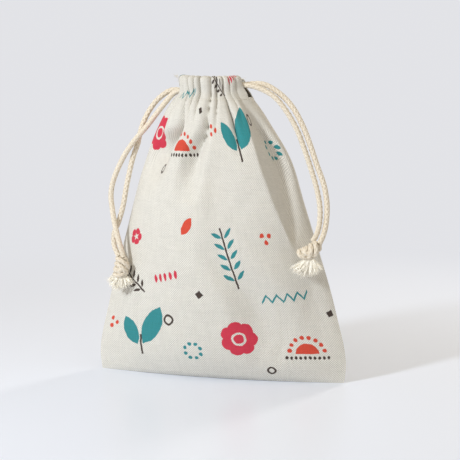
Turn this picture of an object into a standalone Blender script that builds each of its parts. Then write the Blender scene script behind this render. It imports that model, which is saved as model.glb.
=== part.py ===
"""Small drawstring pouch of printed cotton-linen cloth, gathered on two cotton cords.

One sheet of cloth is folded at the bottom and sewn up both sides. Its top is turned over to make a
casing, which is left open at the side seams. Two cords run right round the casing, one from each
side, and each is knotted on its own two ends. The cloth fans out from the pleats of the casing to
the full width of the bottom.

Metres, +Z up, front towards -Y. The origin is the middle of the base, on the surface it stands on.
"""

import math

import bpy
import numpy as np

# Cloth, and the heights of the pouch as it stands
CLOTH_THICKNESS = 0.0008
SEAM_ALLOWANCE = 0.0028
STANDING_HEIGHT = 0.156
CASING_DEPTH = 0.013
NECK_LEAN = 0.0048
NECK_LEAN_POWER = 2.5

# Half widths and half depths, from the folded bottom up to the neck
BASE_HALF_WIDTH = 0.0655
HIP_HALF_WIDTH = 0.0663
LOWER_HALF_WIDTH = 0.0612
MIDDLE_HALF_WIDTH = 0.0512
UPPER_HALF_WIDTH = 0.0398
SHOULDER_HALF_WIDTH = 0.0303
STITCH_HALF_WIDTH = 0.0212
NECK_HALF_WIDTH = 0.0173
BASE_HALF_DEPTH = 0.0095
HIP_HALF_DEPTH = 0.0125
LOWER_HALF_DEPTH = 0.0205
MIDDLE_HALF_DEPTH = 0.0240
UPPER_HALF_DEPTH = 0.0232
SHOULDER_HALF_DEPTH = 0.0205
STITCH_HALF_DEPTH = 0.0165
NECK_HALF_DEPTH = 0.0142

# Sharpness of the section at the seams: 1 is a lens with sharp seams, 0.5 an oval
LENS = 1.0
OVAL = 0.5
HIP_SHARPNESS = 0.97
LOWER_SHARPNESS = 0.87
MIDDLE_SHARPNESS = 0.74
UPPER_SHARPNESS = 0.62
SHOULDER_SHARPNESS = 0.54

# Gathers of the casing
PLEAT_DEPTH = 0.0030
INNER_PLEAT_DEPTH = 0.0015
PLEAT_FADE_LENGTH = 0.030
SIDE_OPENING = 0.0037
HEM_GAP = 0.0005
HEM_TAIL = 0.0018

# Cords, knots and frayed ends
CORD_DIAMETER = 0.0028
CORD_CLEARANCE = 0.0004
CASING_ROOM = 0.0009
CORD_BELOW_TOP = 0.0052
LEFT_KNOT_CENTRE = (-0.0496, -0.0134, 0.0568)
LEFT_KNOT_SIZE = (0.0042, 0.0038, 0.0053)
RIGHT_KNOT_CENTRE = (0.0506, -0.0149, 0.0696)
RIGHT_KNOT_SIZE = (0.0055, 0.0038, 0.0042)
LEFT_TUFT_SIZE = (0.0060, 0.0036, 0.0074)
RIGHT_TUFT_SIZE = (0.0074, 0.0036, 0.0072)
LEFT_TUFT_SLANT = -0.0012
RIGHT_TUFT_SLANT = -0.0014
TUFT_GAP = 0.0003
TUFT_LOCKS = 6
TUFT_RAGGEDNESS = 0.16
KNOT_TURNS = 3
KNOT_GROOVE_SHARE = 0.10

# Valleys between the pleats, as shares of a panel from its one seam (-1) to the other (+1). The
# first and the last pleat of each panel stop at the side opening. The widest one is in front.
FRONT_VALLEYS = (-0.65, -0.45, -0.27, -0.13, 0.14, 0.27, 0.40, 0.54, 0.69)
BACK_VALLEYS = (-0.68, -0.50, -0.33, -0.17, -0.02, 0.13, 0.30, 0.46, 0.66)
COLUMNS_IN_PLEAT = (0.0, 0.26, 0.5, 0.74)
PLEAT_ROUNDNESS = 0.7
SEAM_STRIP = 0.12

# The casing from its stitched foot up the front, over the top fold and down inside the mouth. Each
# point is a share of the inner layer's inset and a share of the casing's depth.
CASING_PROFILE = (
    (0.0, 0.18), (0.0, 0.52), (0.0, 0.80), (0.07, 0.94), (0.30, 1.0), (0.62, 0.94), (0.89, 0.75),
    (1.0, 0.46), (0.955, 0.20),
)
# Its way back to the wall, as shares of the room between the hem and the inner layer
HEM_PROFILE = ((0.5, 0.05), (0.045, -0.02))

# Heights of the rows of the wall, as shares of the height below the casing
PLAIN_ROWS = (0.0, 0.05, 0.13, 0.23, 0.34, 0.45, 0.56)
GATHERED_ROWS = (0.64, 0.71, 0.77, 0.83, 0.89, 0.945, 1.0)

# Large folds under the casing. Each is a groove in one panel: shares of the panel where it starts
# and ends, share of the body height where it is deepest and where it ends, its depth, and the
# widths of its two banks as shares of the panel. They all begin at the foot of the casing.
FOLD_HEAD = 1.02
FRONT_FOLDS = (
    (-0.42, -0.40, 0.89, 0.74, 0.0050, 0.17, 0.08),
    (0.08, -0.08, 0.87, 0.70, 0.0054, 0.18, 0.09),
    (0.40, 0.37, 0.95, 0.84, 0.0040, 0.08, 0.08),
    (0.68, 0.78, 0.80, 0.47, 0.0105, 0.11, 0.20),
    (-0.78, -0.84, 0.90, 0.62, 0.0030, 0.15, 0.10),
)
BACK_FOLDS = (
    (-0.68, -0.76, 0.82, 0.50, 0.0085, 0.19, 0.11),
    (-0.26, -0.16, 0.88, 0.70, 0.0050, 0.10, 0.17),
    (0.20, 0.30, 0.87, 0.66, 0.0056, 0.17, 0.09),
    (0.62, 0.72, 0.84, 0.56, 0.0062, 0.10, 0.18),
)

# Points that each strand runs through, from its knot up to the side opening
LEFT_FRONT_STRAND = (
    (-0.0479, -0.0136, 0.0627), (-0.0492, -0.0132, 0.0700), (-0.0524, -0.0118, 0.0775),
    (-0.0556, -0.0096, 0.0860), (-0.0567, -0.0086, 0.0935), (-0.0555, -0.0081, 0.1010),
    (-0.0502, -0.0079, 0.1129), (-0.0459, -0.0077, 0.1195), (-0.0412, -0.0074, 0.1252),
    (-0.0378, -0.0064, 0.1292), (-0.0333, -0.0047, 0.1354), (-0.0284, -0.0028, 0.1420),
    (-0.0244, -0.0017, 0.1464), (-0.0202, -0.0017, 0.1476),
)
LEFT_BACK_STRAND = (
    (-0.0511, -0.0131, 0.0623), (-0.0542, -0.0110, 0.0675), (-0.0550, -0.0088, 0.0737),
    (-0.0529, -0.0074, 0.0800), (-0.0507, -0.0070, 0.0878), (-0.0490, -0.0057, 0.0987),
    (-0.0460, -0.0045, 0.1127), (-0.0434, -0.0037, 0.1205), (-0.0427, -0.0035, 0.1240),
    (-0.0413, -0.0028, 0.1295), (-0.0383, -0.0008, 0.1368), (-0.0334, 0.0008, 0.1434),
    (-0.0270, 0.0017, 0.1476), (-0.0204, 0.0017, 0.1477),
)
RIGHT_FRONT_STRAND = (
    (0.0518, -0.0144, 0.0745), (0.0534, -0.0126, 0.0776), (0.0543, -0.0103, 0.0825),
    (0.0541, -0.0081, 0.0902), (0.0521, -0.0064, 0.0994), (0.0491, -0.0052, 0.1083),
    (0.0451, -0.0041, 0.1190), (0.0406, -0.0030, 0.1294), (0.0346, -0.0021, 0.1388),
    (0.0287, -0.0017, 0.1453), (0.0220, -0.0016, 0.1491), (0.0160, -0.0017, 0.1508),
    (0.0115, -0.0018, 0.1509),
)
RIGHT_BACK_STRAND = (
    (0.0551, -0.0140, 0.0730), (0.0567, -0.0115, 0.0775), (0.0574, -0.0084, 0.0835),
    (0.0572, -0.0061, 0.0925), (0.0552, -0.0046, 0.1019), (0.0514, -0.0033, 0.1112),
    (0.0474, -0.0020, 0.1216), (0.0426, -0.0006, 0.1322), (0.0366, 0.0006, 0.1414),
    (0.0298, 0.0013, 0.1475), (0.0226, 0.0016, 0.1513), (0.0164, 0.0017, 0.1516),
    (0.0116, 0.0018, 0.1509),
)
CORD_POINTS = 78
RING_POINTS = 25
LEFT_CORD_TURN = (211.0, 509.0)
RIGHT_CORD_TURN = (331.0, 29.0)

# Colours of the cloth, the cords and the spots of the print
CREAM = (0.80, 0.77, 0.70)
CORD_CREAM = (0.76, 0.66, 0.47)
FRAYED_CREAM = (0.82, 0.75, 0.60)
PRINT_COLOURS = ((0.02, 0.26, 0.29), (0.72, 0.03, 0.07), (0.70, 0.06, 0.03), (0.06, 0.04, 0.03))
PRINT_SPACING = 0.011
SPOT_SHARE = 0.30

BODY_HEIGHT = STANDING_HEIGHT - CASING_DEPTH
UPPER_CORD_HEIGHT = STANDING_HEIGHT - CORD_BELOW_TOP
LOWER_CORD_HEIGHT = UPPER_CORD_HEIGHT - CORD_DIAMETER - CORD_CLEARANCE
RING_INSET = PLEAT_DEPTH + CLOTH_THICKNESS + CORD_CLEARANCE + CORD_DIAMETER / 2
INNER_LAYER_INSET = RING_INSET + CORD_DIAMETER / 2 + CASING_ROOM + CLOTH_THICKNESS
HEM_INSET = 2 * CLOTH_THICKNESS + HEM_GAP

# Steps to a quarter of the section where its length is added up
QUARTER_STEPS = 180

# Height, half width, half depth and seam sharpness of the outline
OUTLINE = (
    (0.0, BASE_HALF_WIDTH, BASE_HALF_DEPTH, LENS),
    (0.05 * BODY_HEIGHT, HIP_HALF_WIDTH, HIP_HALF_DEPTH, HIP_SHARPNESS),
    (0.25 * BODY_HEIGHT, LOWER_HALF_WIDTH, LOWER_HALF_DEPTH, LOWER_SHARPNESS),
    (0.50 * BODY_HEIGHT, MIDDLE_HALF_WIDTH, MIDDLE_HALF_DEPTH, MIDDLE_SHARPNESS),
    (0.75 * BODY_HEIGHT, UPPER_HALF_WIDTH, UPPER_HALF_DEPTH, UPPER_SHARPNESS),
    (0.90 * BODY_HEIGHT, SHOULDER_HALF_WIDTH, SHOULDER_HALF_DEPTH, SHOULDER_SHARPNESS),
    (BODY_HEIGHT, STITCH_HALF_WIDTH, STITCH_HALF_DEPTH, OVAL),
    (BODY_HEIGHT + 0.33 * CASING_DEPTH, NECK_HALF_WIDTH, NECK_HALF_DEPTH, OVAL),
    (STANDING_HEIGHT, NECK_HALF_WIDTH, NECK_HALF_DEPTH, OVAL),
)


def remove_old_objects():
    """Empty the scene, so that the script can be run again."""
    for old in list(bpy.data.objects):
        bpy.data.objects.remove(old, do_unlink=True)


def make_material(name, colour, roughness):
    """A plain Principled material."""
    material = bpy.data.materials.new(name)
    material.use_nodes = True
    shader = material.node_tree.nodes["Principled BSDF"]
    shader.inputs["Base Color"].default_value = (*colour, 1.0)
    shader.inputs["Roughness"].default_value = roughness
    shader.inputs["Metallic"].default_value = 0.0
    return material


def print_spots(material):
    """Print the cloth with round spots in four colours, one to each cell of a Voronoi pattern."""
    tree = material.node_tree
    shader = tree.nodes["Principled BSDF"]
    place = tree.nodes.new("ShaderNodeTexCoord")
    cells = tree.nodes.new("ShaderNodeTexVoronoi")
    cells.inputs["Scale"].default_value = 1.0 / PRINT_SPACING
    cells.inputs["Randomness"].default_value = 0.8
    inside = tree.nodes.new("ShaderNodeMath")
    inside.operation = "LESS_THAN"
    inside.inputs[1].default_value = SPOT_SHARE
    split = tree.nodes.new("ShaderNodeSeparateColor")
    choice = tree.nodes.new("ShaderNodeValToRGB")
    choice.color_ramp.interpolation = "CONSTANT"
    stops = choice.color_ramp.elements
    while len(stops) < len(PRINT_COLOURS):
        stops.new(0.5)
    for index, colour in enumerate(PRINT_COLOURS):
        stops[index].position = index / len(PRINT_COLOURS)
        stops[index].color = (*colour, 1.0)
    mix = tree.nodes.new("ShaderNodeMix")
    mix.data_type = "RGBA"
    mix.inputs["A"].default_value = (*CREAM, 1.0)
    tree.links.new(place.outputs["Object"], cells.inputs["Vector"])
    tree.links.new(cells.outputs["Distance"], inside.inputs[0])
    tree.links.new(cells.outputs["Color"], split.inputs["Color"])
    tree.links.new(split.outputs["Red"], choice.inputs["Fac"])
    tree.links.new(inside.outputs["Value"], mix.inputs["Factor"])
    tree.links.new(choice.outputs["Color"], mix.inputs["B"])
    tree.links.new(mix.outputs["Result"], shader.inputs["Base Color"])


def add_object(name, data, material):
    """Link one named object with its material."""
    data.materials.append(material)
    item = bpy.data.objects.new(name, data)
    bpy.context.scene.collection.objects.link(item)
    return item


def smooth_step(value):
    """Rise from 0 to 1 with level ends."""
    held = np.clip(value, 0.0, 1.0)
    return held * held * (3.0 - 2.0 * held)


def outline_at(height):
    """Half width, half depth and seam sharpness at a height, on a smooth curve through OUTLINE."""
    table = np.array(OUTLINE)
    heights = table[:, 0]
    slopes = np.gradient(table[:, 1:], heights, axis=0)
    slopes[-2:] = 0.0
    span = int(np.clip(np.searchsorted(heights, height, side="right") - 1, 0, len(heights) - 2))
    length = heights[span + 1] - heights[span]
    t = min(max((height - heights[span]) / length, 0.0), 1.0)
    start, end = table[span, 1:], table[span + 1, 1:]
    blend = (2 * t**3 - 3 * t**2 + 1) * start + (3 * t**2 - 2 * t**3) * end
    return blend + length * ((t**3 - 2 * t**2 + t) * slopes[span] + (t**3 - t**2) * slopes[span + 1])


def lean_at(height):
    """Sideways lean of the neck, which grows towards the top."""
    return -NECK_LEAN * (max(height, 0.0) / STANDING_HEIGHT) ** NECK_LEAN_POWER


def panel_angles(height, shares):
    """Angles of the section where the given shares of a panel's width lie along it."""
    half_width, half_depth, sharpness = outline_at(height)
    angle = np.linspace(math.pi, 0.0, 2 * QUARTER_STEPS + 1)
    x = half_width * np.cos(angle)
    y = half_depth * np.sin(angle) ** (2 * sharpness)
    run = np.concatenate(([0.0], np.cumsum(np.hypot(np.diff(x), np.diff(y)))))
    return np.interp(np.asarray(shares), run / run[-1] * 2 - 1, angle)


def half_panel_length(height):
    """Length along the section from the middle of a panel to its seam."""
    half_width, half_depth, sharpness = outline_at(height)
    angle = np.linspace(0.0, math.pi / 2, QUARTER_STEPS + 1)
    x = half_width * np.cos(angle)
    y = half_depth * np.sin(angle) ** (2 * sharpness)
    return float(np.hypot(np.diff(x), np.diff(y)).sum())


def panel_columns(valleys, fine):
    """Shares and pleat heights (0 in a valley, 1 on a ridge) of one panel's columns.

    The seam strips and both edges of the side opening stand on a ridge. The last column is left
    out, because it is the first one of the next panel.
    """
    edge = 1.0 - SIDE_OPENING / half_panel_length(STANDING_HEIGHT)
    bounds = [-1.0, -edge, *valleys, edge, 1.0]
    places = np.array(COLUMNS_IN_PLEAT if fine else COLUMNS_IN_PLEAT[::2])
    shares, ridges = [], []
    for index, (low, high) in enumerate(zip(bounds[:-1], bounds[1:])):
        shares.append(low + (high - low) * places)
        if index in (0, len(bounds) - 2):
            ridges.append(np.ones(len(places)))
        elif index == 1:
            ridges.append(np.cos(0.5 * math.pi * places) ** PLEAT_ROUNDNESS)
        elif index == len(bounds) - 3:
            ridges.append(np.sin(0.5 * math.pi * places) ** PLEAT_ROUNDNESS)
        else:
            ridges.append(np.sin(math.pi * places) ** PLEAT_ROUNDNESS)
    return np.concatenate(shares), np.concatenate(ridges)


def groove_depths(folds, shares, height):
    """Depth of a panel's large folds at one height, summed over the folds."""
    rise = height / BODY_HEIGHT
    depths = np.zeros(len(shares))
    for start, end, deepest, finish, depth, left_bank, right_bank in folds:
        down = np.clip((1.0 - rise) / (1.0 - finish), 0.0, 1.0)
        centre = start + (end - start) * down
        offset = shares - centre
        bank = np.where(offset < 0.0, left_bank, right_bank)
        across = 1.0 - smooth_step(np.abs(offset) / bank)
        above = smooth_step((FOLD_HEAD - rise) / (FOLD_HEAD - deepest))
        below = smooth_step((rise - finish) / (deepest - finish))
        depths += depth * across * above * below
    return depths


def ring(height, inset, pleat_depth, fine, level=None, seam_inset=None):
    """One closed ring of the cloth.

    The section at the height is drawn in by the inset, then by its pleats and large folds. The
    points of all rings of one kind stand on the same threads of the cloth. The level is the
    height that the points get, where it isn't the height of the section.
    """
    half_width, half_depth, sharpness = outline_at(height)
    seam_inset = inset if seam_inset is None else seam_inset
    level = height if level is None else level
    points = []
    for side, valleys, folds in ((-1.0, FRONT_VALLEYS, FRONT_FOLDS), (1.0, BACK_VALLEYS, BACK_FOLDS)):
        shares, ridges = panel_columns(valleys, fine)
        angle = panel_angles(height, shares)
        sine, cosine = np.sin(angle), np.cos(angle)
        turn_x = -half_width * sine
        turn_y = 2 * sharpness * half_depth * np.maximum(sine, 1e-6) ** (2 * sharpness - 1) * cosine
        size = np.maximum(np.hypot(turn_x, turn_y), 1e-9)
        normal_x, normal_y = turn_y / size, -turn_x / size
        normal_x[0], normal_y[0] = -1.0, 0.0
        beside_seam = smooth_step((1.0 - np.abs(shares)) / SEAM_STRIP)
        pull = pleat_depth * (1.0 - ridges) + groove_depths(folds, shares, height) * beside_seam
        x = (half_width - seam_inset) * cosine - normal_x * pull
        y = (half_depth - inset) * sine ** (2 * sharpness) - normal_y * pull
        points.append(np.column_stack((-side * x, side * y)))
    flat = np.vstack(points)
    flat[:, 0] += lean_at(height)
    return np.column_stack((flat, np.full(len(flat), level)))


def pleat_depth_at(height):
    """Depth of the pleats of the wall, which fade out below the casing."""
    return PLEAT_DEPTH * smooth_step((height - BODY_HEIGHT + PLEAT_FADE_LENGTH) / PLEAT_FADE_LENGTH)


def wall_rings(fine, rows, inner):
    """Rings of the wall on the given rows, of its outer face or its inner one."""
    rings = []
    for share in rows:
        height = share * BODY_HEIGHT
        if not inner:
            rings.append(ring(height, 0.0, pleat_depth_at(height), fine))
            continue
        turned = (outline_at(height)[2] - OVAL) / (LENS - OVAL)
        allowance = CLOTH_THICKNESS + (SEAM_ALLOWANCE - CLOTH_THICKNESS) * turned
        level = max(height, CLOTH_THICKNESS)
        rings.append(ring(height, CLOTH_THICKNESS, pleat_depth_at(height), fine, level, allowance))
    return rings


def casing_path():
    """Inset, height and pleat depth along the casing, on the side that looks away from the cords.

    The path goes up the front of the casing, over the top fold, down inside the mouth, and out
    again to the wall, where the hem is sewn down.
    """
    shares = np.array(CASING_PROFILE)
    back = np.array(HEM_PROFILE)
    insets = np.concatenate((
        shares[:, 0] * INNER_LAYER_INSET,
        HEM_INSET + back[:, 0] * (INNER_LAYER_INSET - HEM_INSET),
        [HEM_INSET],
    ))
    heights = BODY_HEIGHT + np.concatenate((shares[:, 1], back[:, 1], [0.0])) * CASING_DEPTH
    heights[-1] -= HEM_TAIL
    flattened = np.concatenate((shares[:, 0], back[:, 0], [0.0]))
    depths = PLEAT_DEPTH + (INNER_PLEAT_DEPTH - PLEAT_DEPTH) * flattened
    return np.column_stack((insets, heights)), depths


def casing_rings(inner):
    """Rings of the casing, on the side away from the cords or on the side that holds them."""
    path, depths = casing_path()
    if inner:
        start = np.array([[0.0, BODY_HEIGHT]])
        run = np.gradient(np.vstack((start, path)), axis=0)[1:]
        run /= np.hypot(run[:, 0], run[:, 1])[:, None]
        path = path + CLOTH_THICKNESS * np.column_stack((run[:, 1], -run[:, 0]))
    return [ring(height, inset, depth, True) for (inset, height), depth in zip(path, depths)]


def skin_faces(sizes, open_from):
    """Faces of one skin of the sheet, from the base up, as indices into its rings.

    Between a coarse ring and the finer one above it, each coarse step takes three triangles. From
    the row open_from on, the steps within the side openings are left out.
    """
    starts = np.concatenate(([0], np.cumsum(sizes)))
    faces = []
    half = sizes[0] // 2
    for step in range(half):
        near, far = step, (sizes[0] - step) % sizes[0]
        corners = [near, far, (far - 1) % sizes[0], near + 1]
        faces.append(tuple(dict.fromkeys(corners)))
    reach = len(COLUMNS_IN_PLEAT)
    for row in range(len(sizes) - 1):
        low, high, count = starts[row], starts[row + 1], sizes[row]
        for step in range(count):
            following = (step + 1) % count
            if sizes[row + 1] != count:
                a, b, c = high + 2 * step, high + 2 * step + 1, high + 2 * following
                faces += [(low + step, b, a), (low + step, low + following, b), (low + following, c, b)]
                continue
            from_seam = min(step, count - 1 - step, abs(step - count // 2 + 0.5) - 0.5)
            if row >= open_from and from_seam < reach:
                continue
            faces.append((low + step, low + following, high + following, high + step))
    return faces


def make_cloth(material):
    """The sewn sheet: outer skin, inner skin and the cut edges that join them."""
    skins = []
    for inner in (False, True):
        plain = wall_rings(False, PLAIN_ROWS, inner)
        gathered = wall_rings(True, GATHERED_ROWS, inner)
        skins.append(plain + gathered + casing_rings(inner))
    sizes = [len(level) for level in skins[0]]
    open_from = len(PLAIN_ROWS) + len(GATHERED_ROWS)
    outer = skin_faces(sizes, open_from)
    offset = sum(sizes)
    faces = list(outer) + [tuple(index + offset for index in reversed(face)) for face in outer]
    steps = {(face[i - 1], face[i]) for face in outer for i in range(len(face))}
    for start, end in sorted(steps):
        if (end, start) not in steps:
            faces.append((end, start, start + offset, end + offset))
    points = np.vstack([level for skin in skins for level in skin])
    used = sorted({index for face in faces for index in face})
    place = {old: new for new, old in enumerate(used)}
    mesh = bpy.data.meshes.new("pouch_cloth")
    mesh.from_pydata(points[used].tolist(), [], [tuple(place[i] for i in face) for face in faces])
    mesh.shade_smooth()
    mesh.set_sharp_from_angle(angle=math.radians(70.0))
    return add_object("pouch_cloth", mesh, material)


def ring_route(height, first, last):
    """Points of a cord round the casing, between two angles of the neck's oval."""
    angle = np.radians(np.linspace(first, last, RING_POINTS))
    x = (NECK_HALF_WIDTH - RING_INSET) * np.cos(angle) + lean_at(height)
    y = (NECK_HALF_DEPTH - RING_INSET) * np.sin(angle)
    return np.column_stack((x, y, np.full(len(angle), height)))


def smooth_route(route, count):
    """Evenly spaced points on a smooth curve through the points of a route."""
    route = np.asarray(route, dtype=float)
    knots = np.concatenate(([0.0], np.cumsum(np.linalg.norm(np.diff(route, axis=0), axis=1) ** 0.5)))
    slopes = np.gradient(route, knots, axis=0)
    dense = np.linspace(0.0, knots[-1], 40 * len(route))
    span = np.clip(np.searchsorted(knots, dense, side="right") - 1, 0, len(knots) - 2)
    length = (knots[span + 1] - knots[span])[:, None]
    t = (dense - knots[span])[:, None] / length
    curve = (2 * t**3 - 3 * t**2 + 1) * route[span] + (3 * t**2 - 2 * t**3) * route[span + 1]
    curve += length * ((t**3 - 2 * t**2 + t) * slopes[span] + (t**3 - t**2) * slopes[span + 1])
    run = np.concatenate(([0.0], np.cumsum(np.linalg.norm(np.diff(curve, axis=0), axis=1))))
    even = np.linspace(0.0, run[-1], count)
    return np.column_stack([np.interp(even, run, curve[:, axis]) for axis in range(3)])


def make_cord(name, front, back, round_neck, material):
    """A cord from its knot up, into the casing, right round the neck and back to the knot."""
    route = np.vstack((np.array(front), round_neck, np.array(back)[::-1]))
    points = smooth_route(route, CORD_POINTS)
    curve = bpy.data.curves.new(name, "CURVE")
    curve.dimensions = "3D"
    curve.bevel_depth = CORD_DIAMETER / 2
    curve.bevel_resolution = 2
    curve.use_fill_caps = True
    spline = curve.splines.new("POLY")
    spline.points.add(len(points) - 1)
    for point, place in zip(spline.points, points):
        point.co = (*place, 1.0)
    return add_object(name, curve, material)


def make_knot(name, centre, size, material):
    """An overhand knot of the two strands: an egg shape with the turns of the cord round it."""
    rings, columns = 9, 14
    points = [(centre[0], centre[1], centre[2] + size[2])]
    for row in range(1, rings):
        polar = math.pi * row / rings
        for column in range(columns):
            around = 2 * math.pi * column / columns
            groove = 0.5 + 0.5 * math.cos(KNOT_TURNS * around + 4 * polar)
            swell = 1.0 - KNOT_GROOVE_SHARE * math.sin(polar) * groove
            points.append((
                centre[0] + size[0] * swell * math.sin(polar) * math.cos(around),
                centre[1] + size[1] * swell * math.sin(polar) * math.sin(around),
                centre[2] + size[2] * math.cos(polar),
            ))
    points.append((centre[0], centre[1], centre[2] - size[2]))
    return add_object(name, closed_rings(name, points, rings - 1, columns), material)


def make_tuft(name, knot_centre, knot_size, size, slant, material):
    """The frayed ends under a knot: a skirt that flares from the knot to a ragged edge.

    Each step of its profile is a share of its half width and a share of its length.
    """
    profile = ((0.30, 0.0), (0.52, 0.22), (0.78, 0.50), (0.97, 0.84), (0.80, 1.0))
    hollow_foot, columns = 0.86, 18
    top = knot_centre[2] - knot_size[2] - TUFT_GAP
    points = [(knot_centre[0], knot_centre[1], top)]
    for flare, fall in profile:
        for column in range(columns):
            around = 2 * math.pi * column / columns
            wave = 1.0 + TUFT_RAGGEDNESS * fall * math.cos(TUFT_LOCKS * around)
            points.append((
                knot_centre[0] + slant * fall + size[0] * flare * wave * math.cos(around),
                knot_centre[1] + size[1] * flare * wave * math.sin(around),
                top - TUFT_GAP - size[2] * fall * wave,
            ))
    points.append((knot_centre[0] + slant, knot_centre[1], top - hollow_foot * size[2]))
    return add_object(name, closed_rings(name, points, len(profile), columns), material)


def closed_rings(name, points, rings, columns):
    """A mesh of stacked rings with one point at each end, from the top down."""
    faces = [(0, 1 + column, 1 + (column + 1) % columns) for column in range(columns)]
    for row in range(rings - 1):
        for column in range(columns):
            a = 1 + row * columns + column
            b = 1 + row * columns + (column + 1) % columns
            faces.append((a, a + columns, b + columns, b))
    last, foot = 1 + (rings - 1) * columns, 1 + rings * columns
    faces += [(last + (column + 1) % columns, last + column, foot) for column in range(columns)]
    mesh = bpy.data.meshes.new(name)
    mesh.from_pydata(points, [], faces)
    mesh.shade_smooth()
    mesh.set_sharp_from_angle(angle=math.radians(60.0))
    return mesh


def main():
    """Build every piece."""
    remove_old_objects()
    cloth = make_material("printed_cloth", CREAM, 0.9)
    print_spots(cloth)
    cord = make_material("cotton_cord", CORD_CREAM, 0.85)
    fray = make_material("frayed_cotton", FRAYED_CREAM, 0.95)
    make_cloth(cloth)
    make_cord("left_cord", LEFT_FRONT_STRAND, LEFT_BACK_STRAND,
              ring_route(LOWER_CORD_HEIGHT, *LEFT_CORD_TURN), cord)
    make_cord("right_cord", RIGHT_FRONT_STRAND, RIGHT_BACK_STRAND,
              ring_route(UPPER_CORD_HEIGHT, *RIGHT_CORD_TURN), cord)
    make_knot("left_knot", LEFT_KNOT_CENTRE, LEFT_KNOT_SIZE, cord)
    make_knot("right_knot", RIGHT_KNOT_CENTRE, RIGHT_KNOT_SIZE, cord)
    make_tuft("left_frayed_ends", LEFT_KNOT_CENTRE, LEFT_KNOT_SIZE, LEFT_TUFT_SIZE,
              LEFT_TUFT_SLANT, fray)
    make_tuft("right_frayed_ends", RIGHT_KNOT_CENTRE, RIGHT_KNOT_SIZE, RIGHT_TUFT_SIZE,
              RIGHT_TUFT_SLANT, fray)


main()
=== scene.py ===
"""Looks of a small drawstring pouch of printed cotton and linen cloth.

The pouch stands on its folded bottom. Its casing is gathered on two braided cords, which hang down
at the sides and end in a knot with frayed ends. Metres, +Z up, front towards -Y, in the frame of
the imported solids.
"""

import functools
import logging
import math
from dataclasses import dataclass, field
from enum import Enum

import bmesh
import bpy
import numpy as np
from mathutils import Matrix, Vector
from numpy.typing import NDArray

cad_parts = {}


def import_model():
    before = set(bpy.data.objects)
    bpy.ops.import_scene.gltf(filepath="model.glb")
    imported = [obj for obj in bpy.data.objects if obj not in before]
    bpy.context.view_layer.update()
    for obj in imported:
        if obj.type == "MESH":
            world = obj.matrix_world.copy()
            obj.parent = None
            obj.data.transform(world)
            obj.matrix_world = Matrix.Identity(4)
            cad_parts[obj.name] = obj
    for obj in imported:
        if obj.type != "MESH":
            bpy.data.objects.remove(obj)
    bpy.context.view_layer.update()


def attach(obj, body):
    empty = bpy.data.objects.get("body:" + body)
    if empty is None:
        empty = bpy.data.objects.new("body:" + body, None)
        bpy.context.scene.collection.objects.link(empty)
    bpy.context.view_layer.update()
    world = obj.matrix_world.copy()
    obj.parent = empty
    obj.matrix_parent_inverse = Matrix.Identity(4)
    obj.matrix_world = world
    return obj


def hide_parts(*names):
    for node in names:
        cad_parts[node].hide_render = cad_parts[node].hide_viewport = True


Array = NDArray[np.float64]
Faces = NDArray[np.int64]
Colour = tuple[float, float, float]
Point = tuple[float, float, float]

MM = 0.001
FULL_TURN = 2 * math.pi
CARRIERS = 4
BRAID_LAY = 2.6 * MM
LOG = logging.getLogger("pouch")


class Panel(Enum):
    """The two panels of the sheet, with the side of the pouch that each one faces."""

    FRONT = -1.0
    BACK = 1.0


class Side(Enum):
    """The two sides of the pouch that the cords hang from."""

    LEFT = "left"
    RIGHT = "right"


# Curves


def smooth_step(value: Array) -> Array:
    """Rise from 0 to 1 with level ends: 3t^2 - 2t^3 with t held between 0 and 1."""
    held = np.clip(value, 0.0, 1.0)
    return held * held * (3.0 - 2.0 * held)


def bell(places: Array, middle: float, reach: float) -> Array:
    """A bell curve that is 1 at its middle and 1/e at its reach."""
    return np.exp(-(((places - middle) / reach) ** 2))


def smooth_curve(places: Array, table: Array) -> Array:
    """Values on a smooth curve through the rows of a table.

    Between two rows the curve is a cubic whose slope at each row is that between its neighbours.

    Args:
        places: where the curve is read, any number of places.
        table: rows of a place and the values there, with rising places.

    Returns:
        One row of values for each place.
    """
    known, values = table[:, 0], table[:, 1:]
    slopes = np.gradient(values, known, axis=0)
    span = np.clip(np.searchsorted(known, places, side="right") - 1, 0, len(known) - 2)
    length = (known[span + 1] - known[span])[:, None]
    t = np.clip((places[:, None] - known[span][:, None]) / length, 0.0, 1.0)
    curve = (2 * t**3 - 3 * t**2 + 1) * values[span] + (3 * t**2 - 2 * t**3) * values[span + 1]
    return curve + length * ((t**3 - 2 * t**2 + t) * slopes[span] + (t**3 - t**2) * slopes[span + 1])


def unit(vectors: Array) -> Array:
    """The same directions with a length of 1."""
    return vectors / np.linalg.norm(vectors, axis=-1)[..., None]


def lengths_along(points: Array) -> Array:
    """Length of a line of points from its first one to each of them."""
    return np.concatenate(([0.0], np.cumsum(np.linalg.norm(np.diff(points, axis=0), axis=1))))


def smooth_route(points: Array, step: float) -> Array:
    """Evenly spaced points on a smooth curve through the points of a route.

    Args:
        points: the route's own points, one row each.
        step: distance between two points of the result, in metres.

    Returns:
        The points of the curve, one row each.
    """
    readings_per_point = 60
    gaps = np.linalg.norm(np.diff(points, axis=0), axis=1)
    knots = np.concatenate(([0.0], np.cumsum(gaps**0.5)))
    dense = np.linspace(0.0, knots[-1], readings_per_point * len(points))
    curve = smooth_curve(dense, np.column_stack((knots, points)))
    run = lengths_along(curve)
    even = np.linspace(0.0, run[-1], max(2, int(round(run[-1] / step)) + 1))
    return np.column_stack([np.interp(even, run, curve[:, axis]) for axis in range(3)])


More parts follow.
